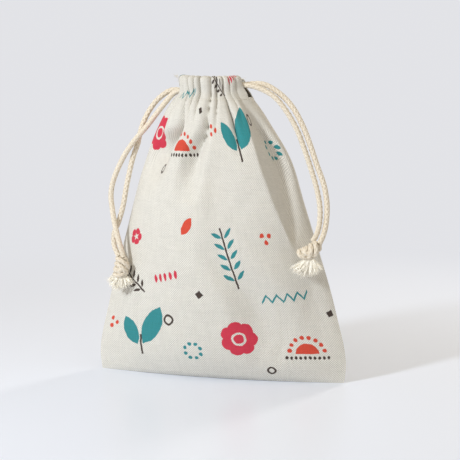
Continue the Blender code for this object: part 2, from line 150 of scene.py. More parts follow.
def frames_along(path: Array) -> tuple[Array, Array]:
    """Two directions across a path at each of its points, carried along it without twist.

    Args:
        path: points of the path, one row each.

    Returns:
        The first and the second direction across the path, one row each per point.
    """
    run = unit(np.gradient(path, axis=0))
    along_y = abs(run[0, 1]) >= 0.9
    start = np.cross(run[0], (1.0, 0.0, 0.0) if along_y else (0.0, 1.0, 0.0))
    first = np.empty_like(path)
    first[0] = start / np.linalg.norm(start)
    for index in range(1, len(path)):
        carried = first[index - 1] - run[index] * np.dot(first[index - 1], run[index])
        first[index] = carried / np.linalg.norm(carried)
    return first, np.cross(run, first)


def directions_round(first: Array, second: Array, sides: int) -> Array:
    """Directions all round a line: first cos a + second sin a at equal steps of the angle a.

    Args:
        first: directions across the line, with the coordinates in the last axis.
        second: directions across both the line and the first ones.
        sides: number of directions round the line.

    Returns:
        The directions, with an axis for the steps before that of the coordinates.
    """
    angle = np.linspace(0.0, FULL_TURN, sides, endpoint=False)[:, None]
    return first[..., None, :] * np.cos(angle) + second[..., None, :] * np.sin(angle)


# Meshes


def grid_faces(rows: int, columns: int, round_columns: bool = False) -> Faces:
    """Four-sided faces of a grid of points that are numbered row by row.

    Args:
        rows: number of rows of points.
        columns: number of points in a row.
        round_columns: whether the last column joins the first one.

    Returns:
        The four point numbers of each face, row by row.
    """
    across = columns if round_columns else columns - 1
    row, column = np.meshgrid(np.arange(rows - 1), np.arange(across), indexing="ij")
    near, far = row * columns + column, row * columns + (column + 1) % columns
    return np.stack((near, far, far + columns, near + columns), axis=-1).reshape(-1, 4)


def closed_tube_faces(count: int, rings: int, sides: int, first: int = 0) -> list[list[int]]:
    """Faces of equal closed tubes, whose points are numbered tube by tube and ring by ring.

    Args:
        count: number of tubes.
        rings: rings of points in a tube.
        sides: points in a ring.
        first: number of the first tube's first point.

    Returns:
        The point numbers of each face: all the walls, then the roots and then the tips.
    """
    tube = first + np.arange(count)[:, None] * (rings * sides)
    walls = (grid_faces(rings, sides, True)[None] + tube[:, :, None]).reshape(-1, 4)
    ring = np.arange(sides)
    roots, tips = tube + ring[::-1], tube + (rings - 1) * sides + ring
    return walls.tolist() + roots.tolist() + tips.tolist()


def linked(item: bpy.types.Object) -> bpy.types.Object:
    """A new object, put into the scene."""
    bpy.context.scene.collection.objects.link(item)
    return item


def make_object(
    name: str,
    points: Array,
    faces: list[list[int]],
    material: bpy.types.Material,
    uv: Array | None = None,
) -> bpy.types.Object:
    """A smooth mesh object at the origin, linked to the scene.

    Args:
        name: name of the object and its mesh.
        points: the mesh's points, one row each.
        faces: the numbers of each face's points.
        material: its finish.
        uv: two pattern coordinates for each corner of each face.

    Returns:
        The new object.
    """
    mesh = bpy.data.meshes.new(name)
    mesh.from_pydata(points.tolist(), [], faces)
    if uv is not None:
        corners = mesh.uv_layers.new(name="pattern").data
        corners.foreach_set("uv", np.ascontiguousarray(uv, np.float32).ravel())
    mesh.materials.append(material)
    mesh.shade_smooth()
    mesh.update()
    return linked(bpy.data.objects.new(name, mesh))


def tube_object(
    name: str, path: Array, radius: Array, start: float, material: bpy.types.Material
) -> bpy.types.Object:
    """A closed tube along a path, whose radius is given at each point of its surface.

    The surface is path(s) + radius(s, a) (first(s) cos a + second(s) sin a). Both ends are closed
    by a point in the middle. Its pattern map is the share of a turn round the tube, and the length
    along the path.

    Args:
        name: name of the object.
        path: points of the centre line.
        radius: one row for each point of the path, one column for each step round it.
        start: pattern coordinate along the path at its first point.
        material: its finish.

    Returns:
        The new object.
    """
    rows, columns = radius.shape
    out = directions_round(*frames_along(path), columns)
    skin = (path[:, None] + out * radius[:, :, None]).reshape(-1, 3)
    points = np.vstack((skin, path[0], path[-1]))
    around = np.arange(columns)
    after = (around + 1) % columns
    last = (rows - 1) * columns
    head = np.column_stack((after, around, np.full(columns, len(skin))))
    foot = np.column_stack((last + around, last + after, np.full(columns, len(skin) + 1)))
    length = start + lengths_along(path)
    row, column = np.meshgrid(np.arange(rows - 1), around, indexing="ij")
    corner_turn = np.stack((column, column + 1, column + 1, column), axis=-1) / columns
    corner_run = np.stack((length[row], length[row], length[row + 1], length[row + 1]), axis=-1)
    wall = np.stack((corner_turn, corner_run), axis=-1).reshape(-1, 2)
    head_uv = np.repeat([(0.0, length[0])], 3 * columns, axis=0)
    foot_uv = np.repeat([(0.0, length[-1])], 3 * columns, axis=0)
    faces = grid_faces(rows, columns, True).tolist() + head.tolist() + foot.tolist()
    return make_object(name, points, faces, material, np.vstack((wall, head_uv, foot_uv)))


def join(
    name: str, parts: list[bpy.types.Object], material: bpy.types.Material
) -> bpy.types.Object:
    """Several mesh objects made one, with their pattern maps.

    Args:
        name: name of the new object.
        parts: the objects, which are removed.
        material: the finish of the whole.

    Returns:
        The new object.
    """
    builder = bmesh.new()
    for part in parts:
        builder.from_mesh(part.data)
    mesh = bpy.data.meshes.new(name)
    builder.to_mesh(mesh)
    builder.free()
    for part in parts:
        bpy.data.objects.remove(part, do_unlink=True)
    mesh.materials.append(material)
    return linked(bpy.data.objects.new(name, mesh))


# Shader nodes


class Graph:
    """Short calls that build a material's nodes."""

    def __init__(self, name: str) -> None:
        """Start a new material with its Principled shader.

        Args:
            name: name of the material.
        """
        self.material = bpy.data.materials.new(name)
        self.material.use_nodes = True
        self.tree = self.material.node_tree
        self.shader = self.tree.nodes["Principled BSDF"]

    def feed(self, target: bpy.types.NodeSocket, value: object) -> None:
        """Link a socket to an input, or set the input's own value.

        Args:
            target: the input.
            value: a socket, a Value, a colour, a number or a vector.
        """
        if isinstance(value, Value):
            value = value.socket
        if isinstance(value, bpy.types.NodeSocket):
            self.tree.links.new(value, target)
        elif isinstance(value, tuple) and len(value) == 3 and target.type == "RGBA":
            target.default_value = (*value, 1.0)
        else:
            target.default_value = value

    def fill(self, node: bpy.types.Node, **inputs: object) -> None:
        """Feed a node's inputs by name, with the spaces in a name as underscores."""
        for key, value in inputs.items():
            self.feed(node.inputs[key.replace("_", " ")], value)

    def add(self, kind: str, settings: dict | None = None, **inputs: object) -> bpy.types.Node:
        """A node with its settings and inputs.

        Args:
            kind: the node's type.
            settings: attributes of the node to set.
            inputs: value or linked socket of each input, with spaces in its name as underscores.

        Returns:
            The new node.
        """
        node = self.tree.nodes.new(kind)
        for key, value in (settings or {}).items():
            setattr(node, key, value)
        self.fill(node, **inputs)
        return node

    def finish(self, **inputs: object) -> bpy.types.Material:
        """The material, once its shader's inputs are fed by name."""
        self.fill(self.shader, **inputs)
        return self.material

    def math(self, operation: str, *terms: object) -> "Value":
        """The result of a Math node.

        Args:
            operation: the node's operation.
            terms: one to three numbers, Values or sockets.

        Returns:
            The result.
        """
        node = self.add("ShaderNodeMath", {"operation": operation})
        for socket, term in zip(node.inputs, terms):
            self.feed(socket, term)
        return Value(self, node.outputs[0])

    def pattern_place(self) -> tuple["Value", "Value"]:
        """The two coordinates of the piece's own pattern map, in metres.

        Returns:
            The coordinate across or round the piece, and the one along it.
        """
        source = self.add("ShaderNodeUVMap", {"uv_map": "pattern"})
        split = self.add("ShaderNodeSeparateXYZ", Vector=source.outputs["UV"])
        return Value(self, split.outputs["X"]), Value(self, split.outputs["Y"])

    def noise(self, place: object, scale: float, detail: float) -> "Value":
        """A soft noise between 0 and 1 at a place."""
        node = self.add("ShaderNodeTexNoise", Vector=place, Scale=scale, Detail=detail)
        return Value(self, node.outputs["Fac"])

    def vector(self, x: object, y: object) -> bpy.types.NodeSocket:
        """A vector of two terms."""
        return self.add("ShaderNodeCombineXYZ", X=x, Y=y).outputs["Vector"]

    def mix(self, factor: object, low: object, high: object) -> bpy.types.NodeSocket:
        """A colour between two others.

        Args:
            factor: share of the second colour, held between 0 and 1.
            low: the first colour.
            high: the second colour.

        Returns:
            The mixed colour.
        """
        node = self.add("ShaderNodeMix", {"data_type": "RGBA", "clamp_factor": True})
        share, first, second = 0, 6, 7
        for socket, value in ((share, factor), (first, low), (second, high)):
            self.feed(node.inputs[socket], value)
        return node.outputs[2]

    def shade(self, colour: object, factor: object) -> bpy.types.NodeSocket:
        """A colour times a number."""
        node = self.add("ShaderNodeVectorMath", {"operation": "SCALE"}, Vector=colour, Scale=factor)
        return node.outputs["Vector"]

    def bump(self, height: object, distance: float, strength: float) -> bpy.types.NodeSocket:
        """A normal that follows a height between 0 and 1 over a distance in metres."""
        node = self.add("ShaderNodeBump", Height=height, Distance=distance, Strength=strength)
        return node.outputs["Normal"]


@dataclass(frozen=True)
class Value:
    """A number that the shader works out at each point, with the usual signs of arithmetic."""

    graph: Graph
    socket: bpy.types.NodeSocket

    def __add__(self, other: object) -> "Value":
        """Sum."""
        return self.graph.math("ADD", self, other)

    def __sub__(self, other: object) -> "Value":
        """Difference."""
        return self.graph.math("SUBTRACT", self, other)

    def __mul__(self, other: object) -> "Value":
        """Product."""
        return self.graph.math("MULTIPLY", self, other)

    def __truediv__(self, other: object) -> "Value":
        """Quotient."""
        return self.graph.math("DIVIDE", self, other)

    def __abs__(self) -> "Value":
        """Size without its sign."""
        return self.graph.math("ABSOLUTE", self)

    def least(self, other: object) -> "Value":
        """The lesser of two."""
        return self.graph.math("MINIMUM", self, other)

    def most(self, other: object) -> "Value":
        """The greater of two."""
        return self.graph.math("MAXIMUM", self, other)

    def sine(self) -> "Value":
        """Sine."""
        return self.graph.math("SINE", self)

    def floor(self) -> "Value":
        """The whole number below."""
        return self.graph.math("FLOOR", self)

    def wrapped(self, length: float) -> "Value":
        """What is left after taking away whole lengths."""
        return self.graph.math("FLOORED_MODULO", self, length)

    def folded(self, length: float) -> "Value":
        """Up and down between 0 and a length."""
        return self.graph.math("PINGPONG", self, length)

    def ramp(self, low: float, high: float) -> "Value":
        """Rise smoothly from 0 at the low value to 1 at the high one."""
        node = self.graph.add(
            "ShaderNodeMapRange", {"interpolation_type": "SMOOTHSTEP"},
            Value=self, From_Min=low, From_Max=high,
        )
        return Value(self.graph, node.outputs["Result"])


@dataclass(frozen=True)
class Motif:
    """A printed shape on the flat cloth, in millimetres, as a distance that is negative inside."""

    graph: Graph
    x: Value
    y: Value

    def moved(self, x: float, y: float, turn: float = 0.0) -> "Motif":
        """The same cloth seen from a motif's own middle, with its own upright direction.

        Args:
            x: place of the motif's middle across the cloth.
            y: place of its middle along the cloth.
            turn: how far its upright direction leans to the left, in degrees.

        Returns:
            The motif's own coordinates.
        """
        right, up = self.x - x, self.y - y
        if turn == 0.0:
            return Motif(self.graph, right, up)
        cosine, sine = math.cos(math.radians(turn)), math.sin(math.radians(turn))
        return Motif(self.graph, right * cosine + up * sine, up * cosine - right * sine)

    def hypotenuse(self, across: Value, along: Value) -> Value:
        """Length of the slant side over two others."""
        return self.graph.math("SQRT", across * across + along * along)

    def reach(self) -> Value:
        """Distance from the middle."""
        return self.hypotenuse(self.x, self.y)

    def disc(self, radius: float) -> Value:
        """A round spot."""
        return self.reach() - radius

    def ring(self, radius: float, width: float) -> Value:
        """A ring: the distance to its circle, less half its width."""
        return abs(self.reach() - radius) - 0.5 * width

    def bar(self, half_length: float, half_width: float) -> Value:
        """An upright bar with square ends."""
        return (abs(self.x) - half_width).most(abs(self.y) - half_length)

    def leaf(self, half_length: float, half_width: float) -> Value:
        """An upright leaf with two points, where two equal discs overlap."""
        radius = (half_length**2 + half_width**2) / (2 * half_width)
        return self.hypotenuse(abs(self.x) + (radius - half_width), self.y) - radius

    def fronds(self, step: float, pairs: int) -> Value:
        """Pairs of slanting leaflets up a stem, each leaflet sized by the step between pairs.

        Args:
            step: distance from one pair to the next.
            pairs: number of pairs.

        Returns:
            Distance to the nearest leaflet.
        """
        half_span = 0.5 * step * pairs
        near = Motif(self.graph, abs(self.x), (self.y + half_span).wrapped(step))
        leaflet = near.moved(0.62 * step, 0.62 * step, -52.0).leaf(0.60 * step, 0.19 * step)
        return leaflet.most(abs(self.y) - half_span)

    def ring_of_spots(self, count: int, radius: float, spot: float) -> Value:
        """Equal round spots on a circle.

        Args:
            count: number of spots.
            radius: radius of the circle.
            spot: radius of a spot.

        Returns:
            Distance to the nearest spot.
        """
        share = FULL_TURN / count
        around = (self.graph.math("ARCTAN2", self.y, self.x) + math.pi).wrapped(share) - 0.5 * share
        return self.hypotenuse(around * radius, self.reach() - radius) - spot

    def zigzag(self, half_length: float, rise: float, run: float, half_width: float) -> Value:
        """A band of straight strokes up and down."""
        line = abs(self.y - (self.x + half_length).folded(run) * (rise / run) + 0.5 * rise)
        return (line - half_width).most(abs(self.x) - half_length)

    def strokes(self, half_length: float, step: float, half_height: float, half_width: float) -> Value:
        """A row of short upright strokes."""
        near = Motif(self.graph, (self.x + half_length).wrapped(step) - 0.5 * step, self.y)
        return near.leaf(half_height, half_width).most(abs(self.x) - half_length)


# Finishes


@dataclass(frozen=True)
class PrintedCloth:
    """Plain-woven cream cloth with a small print of sprigs, blossoms and rings.

    The sizes of the weave are in metres, and those of the print in millimetres on the flat cloth.
    """

    cream: Colour = (0.79, 0.765, 0.695)
    linen: Colour = (0.66, 0.60, 0.48)
    teal: Colour = (0.020, 0.270, 0.290)
    raspberry: Colour = (0.700, 0.030, 0.072)
    orange: Colour = (0.720, 0.065, 0.030)
    brown: Colour = (0.050, 0.030, 0.023)
    warp_pitch: float = 0.60 * MM
    weft_pitch: float = 0.62 * MM
    warp_drift: float = 0.5
    weft_drift: float = 0.6
    drift_scale: float = 60.0
    slub_rate: float = 120.0
    slub_steps: tuple[float, float] = (3.7, 2.9)
    patch_scale: float = 70.0
    fleck_rates: tuple[float, float] = (2500.0, 900.0)
    fleck_limits: tuple[float, float] = (0.68, 0.78)
    base_light: float = 0.57
    # share of painted shade in the gaps between the threads, where the weave is low
    painted_weave_shade: float = 0.50
    yarn_light: float = 0.26
    patch_light: float = 0.08
    fleck_tint: float = 0.6
    patch_tint: float = 0.3
    yarn_height: float = 0.5
    weave_depth: float = 0.16 * MM
    repeat_width: float = 131.0
    repeat_height: float = 104.0
    ink_softness: float = 0.16
    ink_wobble: float = 1.1
    ink_wobble_scale: float = 320.0
    gap_cover: float = 0.90

    def build(self) -> bpy.types.Material:
        """The cloth's material, on the flat cloth's own pattern map.

        The height of the weave is 0.5 + 0.5 sin(warp) sin(weft), and the colour is painted darker
        where the weave is low, as shade in the gaps between the threads. Thick and thin yarns follow
        the thread that lies on top, and patches and flecks of linen run through the whole.

        Returns:
            The material.
        """
        graph = Graph("printed_cloth")
        across, along = graph.pattern_place()
        place = graph.vector(across, along)
        drift = graph.noise(place, self.drift_scale, 1.0) - 0.5
        warp = across / self.warp_pitch + drift * self.warp_drift
        weft = along / self.weft_pitch + drift * self.weft_drift
        warp_number, weft_number = warp.floor(), weft.floor()
        on_top = (warp_number + weft_number).wrapped(2.0)
        height = (warp * math.pi).sine() * (weft * math.pi).sine() * 0.5 + 0.5
        warp_place = graph.vector(warp_number * self.slub_steps[0], along * self.slub_rate)
        weft_place = graph.vector(across * self.slub_rate, weft_number * self.slub_steps[1])
        warp_slub, weft_slub = graph.noise(warp_place, 1.0, 1.0), graph.noise(weft_place, 1.0, 1.0)
        patches = graph.noise(place, self.patch_scale, 3.0) - 0.5
        speckle = graph.vector(across * self.fleck_rates[0], along * self.fleck_rates[1])
        flecks = graph.noise(speckle, 1.0, 2.0).ramp(*self.fleck_limits)
        yarn = (warp_slub * on_top + weft_slub * (on_top * -1.0 + 1.0)) - 0.5
        # painted shade: darker colour where the weave is low, in the gaps between the threads; the yarns and
        # patches add the cloth's own tone
        weave_shade_and_tone = height * self.painted_weave_shade + yarn * self.yarn_light
        weave_shade_and_tone = weave_shade_and_tone + patches * self.patch_light + self.base_light
        ground = graph.mix(flecks * self.fleck_tint + patches * self.patch_tint, self.cream, self.linen)
        printed = self.print_on(graph, across, along, height, ground)
        return graph.finish(
            Base_Color=graph.shade(printed, weave_shade_and_tone),
            Normal=graph.bump(height + yarn * self.yarn_height, self.weave_depth, 0.7),
            Roughness=0.92,
            Specular_IOR_Level=0.25,
            Sheen_Weight=0.12,
            Sheen_Roughness=0.5,
        )

    def print_on(self, graph: Graph, across: Value, along: Value, height: Value, ground: object) -> object:
        """Lay the four inks on the ground colour, thinner in the gaps between the threads.

        Args:
            graph: the material's nodes.
            across: place across the flat cloth, in metres.
            along: place along the flat cloth, in metres.
            height: height of the weave, from 0 to 1.
            ground: colour of the bare cloth.

        Returns:
            The printed colour.
        """
        wobble = graph.noise(graph.vector(across, along), self.ink_wobble_scale, 2.0) - 0.5
        sway = graph.noise(graph.vector(along, across), self.ink_wobble_scale, 2.0) - 0.5
        x = across / MM + wobble * self.ink_wobble
        y = along / MM + sway * self.ink_wobble
        row = (y / self.repeat_height).floor()
        shifted = x + row * (0.5 * self.repeat_width)
        tile = Motif(graph, shifted.wrapped(self.repeat_width), y.wrapped(self.repeat_height))
        cover = height.ramp(0.10, 0.60) * (1.0 - self.gap_cover) + self.gap_cover
        for colour, shapes in (
            (self.teal, self.teal_shapes(tile)),
            (self.raspberry, self.raspberry_shapes(tile)),
            (self.orange, self.orange_shapes(tile)),
            (self.brown, self.brown_shapes(tile)),
        ):
            ink = self.nearest(shapes).ramp(self.ink_softness, -self.ink_softness)
            ground = graph.mix(ink * cover, ground, colour)
        return ground

    @staticmethod
    def nearest(shapes: tuple[Value, ...]) -> Value:
        """Distance to the nearest of several shapes."""
        return functools.reduce(Value.least, shapes)

    @staticmethod
    def teal_shapes(tile: Motif) -> tuple[Value, ...]:
        """A large sprig of two leaves, a fern, a zigzag and a ring of spots.

        Args:
            tile: one repeat of the print.

        Returns:
            Distance to each shape.
        """
        return (
            tile.moved(98.0, 37.0, -24.0).leaf(11.5, 5.4),
            tile.moved(85.5, 33.0, 32.0).leaf(8.6, 4.1),
            tile.moved(12.0, 76.0, 14.0).fronds(5.6, 5),
            tile.moved(40.0, 55.0, 6.0).zigzag(12.6, 3.8, 2.8, 0.75),
            tile.moved(121.0, 25.0).ring_of_spots(8, 4.3, 1.05),
        )

    @staticmethod
    def raspberry_shapes(tile: Motif) -> tuple[Value, ...]:
        """A large round blossom with a cream ring, a small blossom and a short row of drops.

        Args:
            tile: one repeat of the print.

        Returns:
            Distance to each shape.
        """
        large, small = tile.moved(14.0, 33.0), tile.moved(81.0, 83.0)
        petals = large.ring_of_spots(7, 6.0, 3.3).least(large.disc(5.4))
        return (
            petals.most(large.ring(3.1, 1.1) * -1.0),
            small.ring_of_spots(5, 2.7, 1.75).most(small.disc(0.9) * -1.0),
            tile.moved(106.0, 64.0, 14.0).strokes(8.5, 3.4, 2.3, 1.0),
        )

    @staticmethod
    def orange_shapes(tile: Motif) -> tuple[Value, ...]:
        """A half sun with its rays, a bud and small groups of spots.

        Args:
            tile: one repeat of the print.

        Returns:
            Distance to each shape.
        """
        sun = tile.moved(47.0, 25.0)
        below = sun.y * -1.0
        return (
            sun.disc(5.8).most(below),
            sun.ring_of_spots(16, 8.8, 1.1).most(below + 0.4),
            tile.moved(119.0, 91.0, -35.0).leaf(5.4, 2.7),
            tile.moved(73.0, 36.0).ring_of_spots(3, 2.3, 1.2),
            tile.moved(34.0, 86.0, 30.0).ring_of_spots(3, 2.3, 1.2),
        )

    @staticmethod
    def brown_shapes(tile: Motif) -> tuple[Value, ...]:
        """Stems, rings, a twig with narrow leaves, and the short strokes under the half sun.

        Args:
            tile: one repeat of the print.

        Returns:
            Distance to each shape.
        """
        return (
            tile.moved(92.0, 26.0, 5.0).bar(5.6, 0.6),
            tile.moved(12.0, 75.0, 14.0).bar(16.4, 0.5),
            tile.moved(47.0, 22.8).strokes(11.4, 2.28, 1.0, 0.75),
            tile.moved(108.0, 41.0).ring(2.5, 1.15),
            tile.moved(56.0, 72.0).ring(2.3, 1.1),
            tile.moved(29.0, 15.0).ring(1.9, 1.0),
            tile.moved(84.0, 60.0, 55.0).fronds(3.8, 4),
            tile.moved(84.0, 60.0, 55.0).bar(9.6, 0.45),
            tile.moved(126.0, 56.0, 40.0).bar(1.6, 1.6),
            tile.moved(62.0, 46.0, 20.0).bar(1.5, 1.5),
        )


@dataclass(frozen=True)
class CottonCord:
    """Pale braided cotton."""

    tone: Colour = (0.82, 0.75, 0.63)
    # darker tone: painted shade in the braid's grooves, and the cord's own darker fuzz and patches
    shade_tone: Colour = (0.60, 0.51, 0.38)
    yarns_in_carrier: float = 3.0
    band_share: float = 0.34
    yarn_share: float = 0.22
    fuzz_share: float = 0.6
    patch_share: float = 0.3
    yarn_height: float = 0.3
    fuzz_rates: tuple[float, float] = (40.0, 2500.0)
    patch_rate: float = 80.0
    fuzz_depth: float = 0.12 * MM

    def build(self) -> bpy.types.Material:
        """The cord's material: fine yarns that run along the braid's own slanting bands.

        Its colour is painted darker in the grooves between the braid's ridges, as shade.

        Returns:
            The material.
        """
        graph = Graph("cotton_cord")
        around, along = graph.pattern_place()
        turn = around * (FULL_TURN * CARRIERS)
        climb = along * (FULL_TURN / BRAID_LAY)
        rising, falling = turn + climb, turn - climb
        band = rising.sine().most(falling.sine())
        count = self.yarns_in_carrier
        yarns = (rising * count).sine() * 0.5 + (falling * count).sine() * 0.5
        hairs = graph.vector(around * self.fuzz_rates[0], along * self.fuzz_rates[1])
        fuzz = graph.noise(hairs, 1.0, 3.0)
        patches = graph.noise(graph.vector(around, along * self.patch_rate), 1.0, 2.0)
        # painted shade: darker colour in the grooves between the braid's ridges; fuzz and patches are the
        # cord's own tone
        ridges = band * self.band_share + yarns * self.yarn_share
        blend = ridges + fuzz * self.fuzz_share + patches * self.patch_share
        return graph.finish(
            Base_Color=graph.mix(blend, self.shade_tone, self.tone),
            Normal=graph.bump(yarns * self.yarn_height + fuzz, self.fuzz_depth, 0.8),
            Roughness=0.9,
            Specular_IOR_Level=0.25,
            Sheen_Weight=0.2,
        )


@dataclass(frozen=True)
class LooseFibre:
    """Open cotton fibres, paler than the braid."""

    name: str
    tone: Colour
    shade_tone: Colour
    patch_scale: float = 900.0
    patch_limits: tuple[float, float] = (0.3, 0.7)

    def build(self) -> bpy.types.Material:
        """The fibres' material: paler and darker fibres through the tuft.

        Returns:
            The material.
        """
        graph = Graph(self.name)
        place = graph.add("ShaderNodeTexCoord").outputs["Object"]
        patches = graph.noise(place, self.patch_scale, 2.0).ramp(*self.patch_limits)
        return graph.finish(
            Base_Color=graph.mix(patches, self.shade_tone, self.tone),
            Roughness=0.85,
            Specular_IOR_Level=0.2,
        )


# Cloth


@dataclass(frozen=True)
class Crease:
    """A valley in a panel: a pleat's edge in the casing, and the fold that it opens into below.

    Each station is a height, the share of the panel where the valley lies, its depth, and the
    shares of its left and right banks. Heights and depths are in millimetres.
    """

    stations: tuple[tuple[float, float, float, float, float], ...]
    sharp_from: float = 118.0
    sharp_within: float = 24.0
    least_bank: float = 0.02

    def pull(self, heights: Array, shares: Array) -> Array:
        """How far the valley draws the cloth in.

        Across the valley the depth falls as 1 - sqrt(2t - t^2) in the casing, which leaves round
        pleats between sharp valleys, and as 1 - smooth step of t further down, where t is the
        distance from the valley's line in banks.

        Args:
            heights: height of each row.
            shares: share of the panel of each column.

        Returns:
            Depth in metres, one row for each height.
        """
        table = np.array(sorted(self.stations))
        table[:, 0] *= MM
        low, high = table[0, 0], table[-1, 0]
        centre, depth, left, right = smooth_curve(np.clip(heights, low, high), table).T[:, :, None]
        depth = np.where(heights[:, None] < low, 0.0, np.maximum(depth, 0.0)) * MM
        offset = shares[None, :] - centre
        bank = np.where(offset < 0.0, np.maximum(left, self.least_bank), np.maximum(right, self.least_bank))
        t = np.clip(np.abs(offset) / bank, 0.0, 1.0)
        crisp = smooth_step((heights / MM - self.sharp_from) / self.sharp_within)[:, None]
        return depth * (crisp * (1.0 - np.sqrt(2.0 * t - t * t)) + (1.0 - crisp) * (1.0 - smooth_step(t)))


@dataclass(frozen=True)
class StepFold:
    """A fold that stands out like a step: a rise up to a sharp crest, a drop, and a valley beyond it.

    Each station is a height, the share of the panel where the crest lies, its rise, the share and
    the depth of the valley, and the shares of the rise's and the far bank's widths.
    """

    stations: tuple[tuple[float, float, float, float, float, float, float], ...]
    sharpness: float = 1.5

    def pull(self, heights: Array, shares: Array) -> Array:
        """How far the fold draws the cloth in, below zero where it stands out.

        With n for the sharpness, the rise grows up to the crest as t^n. From the crest to the
        valley the drop is 1 - (1 - u)^n, steepest at the crest, and the far bank is a smooth step
        back to nothing.

        Args:
            heights: height of each row.
            shares: share of the panel of each column.

        Returns:
            Depth in metres, one row for each height.
        """
        table = np.array(sorted(self.stations))
        table[:, 0] *= MM
        held = np.clip(heights, table[0, 0], table[-1, 0])
        crest, rise, valley, depth, reach, bank = smooth_curve(held, table).T[:, :, None]
        rise, depth = np.maximum(rise, 0.0) * MM, np.maximum(depth, 0.0) * MM
        place = shares[None, :]
        before = -rise * np.clip((place - crest + reach) / reach, 0.0, 1.0) ** self.sharpness
        left_to_valley = 1.0 - np.clip((place - crest) / (valley - crest), 0.0, 1.0)
        drop = (rise + depth) * (1.0 - left_to_valley**self.sharpness)
        after = -depth * smooth_step((place - valley) / bank)
        return before + drop + after


FRONT_CREASES = (
    Crease((
        (156, -0.65, 3.0, 0.10, 0.10), (146, -0.65, 3.0, 0.10, 0.10), (136, -0.69, 2.4, 0.12, 0.11),
        (125, -0.74, 2.6, 0.14, 0.14), (112, -0.78, 1.2, 0.14, 0.16), (100, -0.80, 0.0, 0.14, 0.16),
    )),
    Crease((
        (156, -0.45, 3.0, 0.10, 0.09), (146, -0.42, 3.2, 0.10, 0.08), (139, -0.37, 4.0, 0.14, 0.07),
        (134, -0.34, 5.8, 0.22, 0.07), (130, -0.35, 8.6, 0.26, 0.09), (125, -0.44, 11.4, 0.32, 0.13),
        (119, -0.54, 9.6, 0.32, 0.16), (111, -0.60, 5.0, 0.28, 0.20), (103, -0.64, 1.6, 0.24, 0.22),
        (95, -0.66, 0.0, 0.22, 0.22),
    ), sharp_from=112.0),
    Crease((
        (156, -0.27, 2.4, 0.09, 0.07), (146, -0.27, 2.4, 0.09, 0.07), (137, -0.24, 1.0, 0.08, 0.07),
        (128, -0.20, 0.0, 0.10, 0.10),
    )),
    Crease((
        (156, -0.13, 3.0, 0.07, 0.13), (146, -0.13, 3.0, 0.07, 0.13), (138, -0.14, 1.2, 0.08, 0.10),
        (128, -0.15, 0.0, 0.10, 0.10),
    )),
    Crease((
        (156, 0.14, 3.0, 0.13, 0.06), (146, 0.12, 3.2, 0.12, 0.06), (139, 0.07, 4.2, 0.13, 0.06),
        (133, 0.05, 5.2, 0.14, 0.06), (127, 0.02, 6.8, 0.18, 0.08), (120, -0.07, 7.0, 0.20, 0.13),
        (112, -0.13, 6.0, 0.19, 0.16), (102, -0.17, 3.2, 0.18, 0.18), (92, -0.20, 0.0, 0.18, 0.18),
    ), sharp_from=112.0),
    Crease((
        (156, 0.27, 2.6, 0.06, 0.06), (146, 0.24, 3.0, 0.06, 0.06), (138, 0.19, 1.8, 0.06, 0.06),
        (128, 0.15, 0.0, 0.08, 0.08),
    )),
    Crease((
        (156, 0.40, 2.0, 0.06, 0.07), (146, 0.40, 1.5, 0.06, 0.07), (139, 0.40, 3.8, 0.07, 0.06),
        (134, 0.41, 5.2, 0.08, 0.06), (129, 0.41, 3.6, 0.09, 0.07), (122, 0.41, 1.4, 0.11, 0.10),
        (115, 0.40, 0.0, 0.12, 0.10),
    ), sharp_from=110.0),
    Crease((
        (156, 0.54, 1.4, 0.07, 0.07), (146, 0.54, 0.6, 0.07, 0.07), (138, 0.54, 0.6, 0.07, 0.07),
        (129, 0.50, 0.0, 0.08, 0.08),
    )),
    Crease((
        (156, 0.69, 1.4, 0.07, 0.08), (147, 0.69, 0.4, 0.07, 0.10), (138, 0.70, 0.0, 0.08, 0.10),
        (131, 0.70, 0.0, 0.08, 0.10),
    )),
    StepFold((
        (156, 0.60, 0.0, 0.70, 0.0, 0.20, 0.14), (147, 0.59, 0.2, 0.69, 0.4, 0.22, 0.20),
        (138, 0.585, 1.2, 0.71, 1.8, 0.28, 0.22), (132, 0.575, 2.2, 0.74, 3.4, 0.32, 0.20),
        (126, 0.565, 3.0, 0.80, 4.8, 0.38, 0.12), (119, 0.565, 3.6, 0.86, 5.6, 0.40, 0.09),
        (112, 0.570, 3.9, 0.86, 5.4, 0.42, 0.10), (104, 0.595, 3.8, 0.83, 4.6, 0.42, 0.12),
        (96, 0.620, 3.5, 0.80, 3.6, 0.42, 0.14), (88, 0.655, 2.9, 0.785, 2.6, 0.42, 0.15),
        (80, 0.695, 2.1, 0.77, 1.5, 0.40, 0.15), (75, 0.725, 1.3, 0.77, 0.7, 0.38, 0.14),
        (71, 0.748, 0.5, 0.778, 0.2, 0.34, 0.13), (67, 0.76, 0.0, 0.79, 0.0, 0.30, 0.12),
    )),
    Crease((
        (120, 0.06, 0.0, 0.12, 0.30), (104, 0.08, 1.5, 0.14, 0.34), (84, 0.10, 1.3, 0.16, 0.36),
        (62, 0.12, 0.0, 0.16, 0.36),
    )),
    Crease((
        (80, 0.06, 0.0, 0.20, 0.30), (62, 0.14, 2.4, 0.24, 0.34), (44, 0.34, 4.6, 0.26, 0.36),
        (26, 0.42, 4.0, 0.28, 0.34), (8, 0.46, 0.0, 0.28, 0.34),
    )),
    Crease((
        (88, -0.64, 0.0, 0.26, 0.20), (62, -0.60, 1.6, 0.26, 0.24), (38, -0.52, 1.4, 0.26, 0.26),
        (14, -0.46, 0.0, 0.24, 0.26),
    )),
    Crease((
        (72, 0.82, 0.0, 0.30, 0.17), (56, 0.83, 1.2, 0.36, 0.16), (40, 0.83, 1.6, 0.38, 0.16),
        (24, 0.83, 1.2, 0.36, 0.16), (8, 0.84, 0.0, 0.30, 0.16),
    )),
)

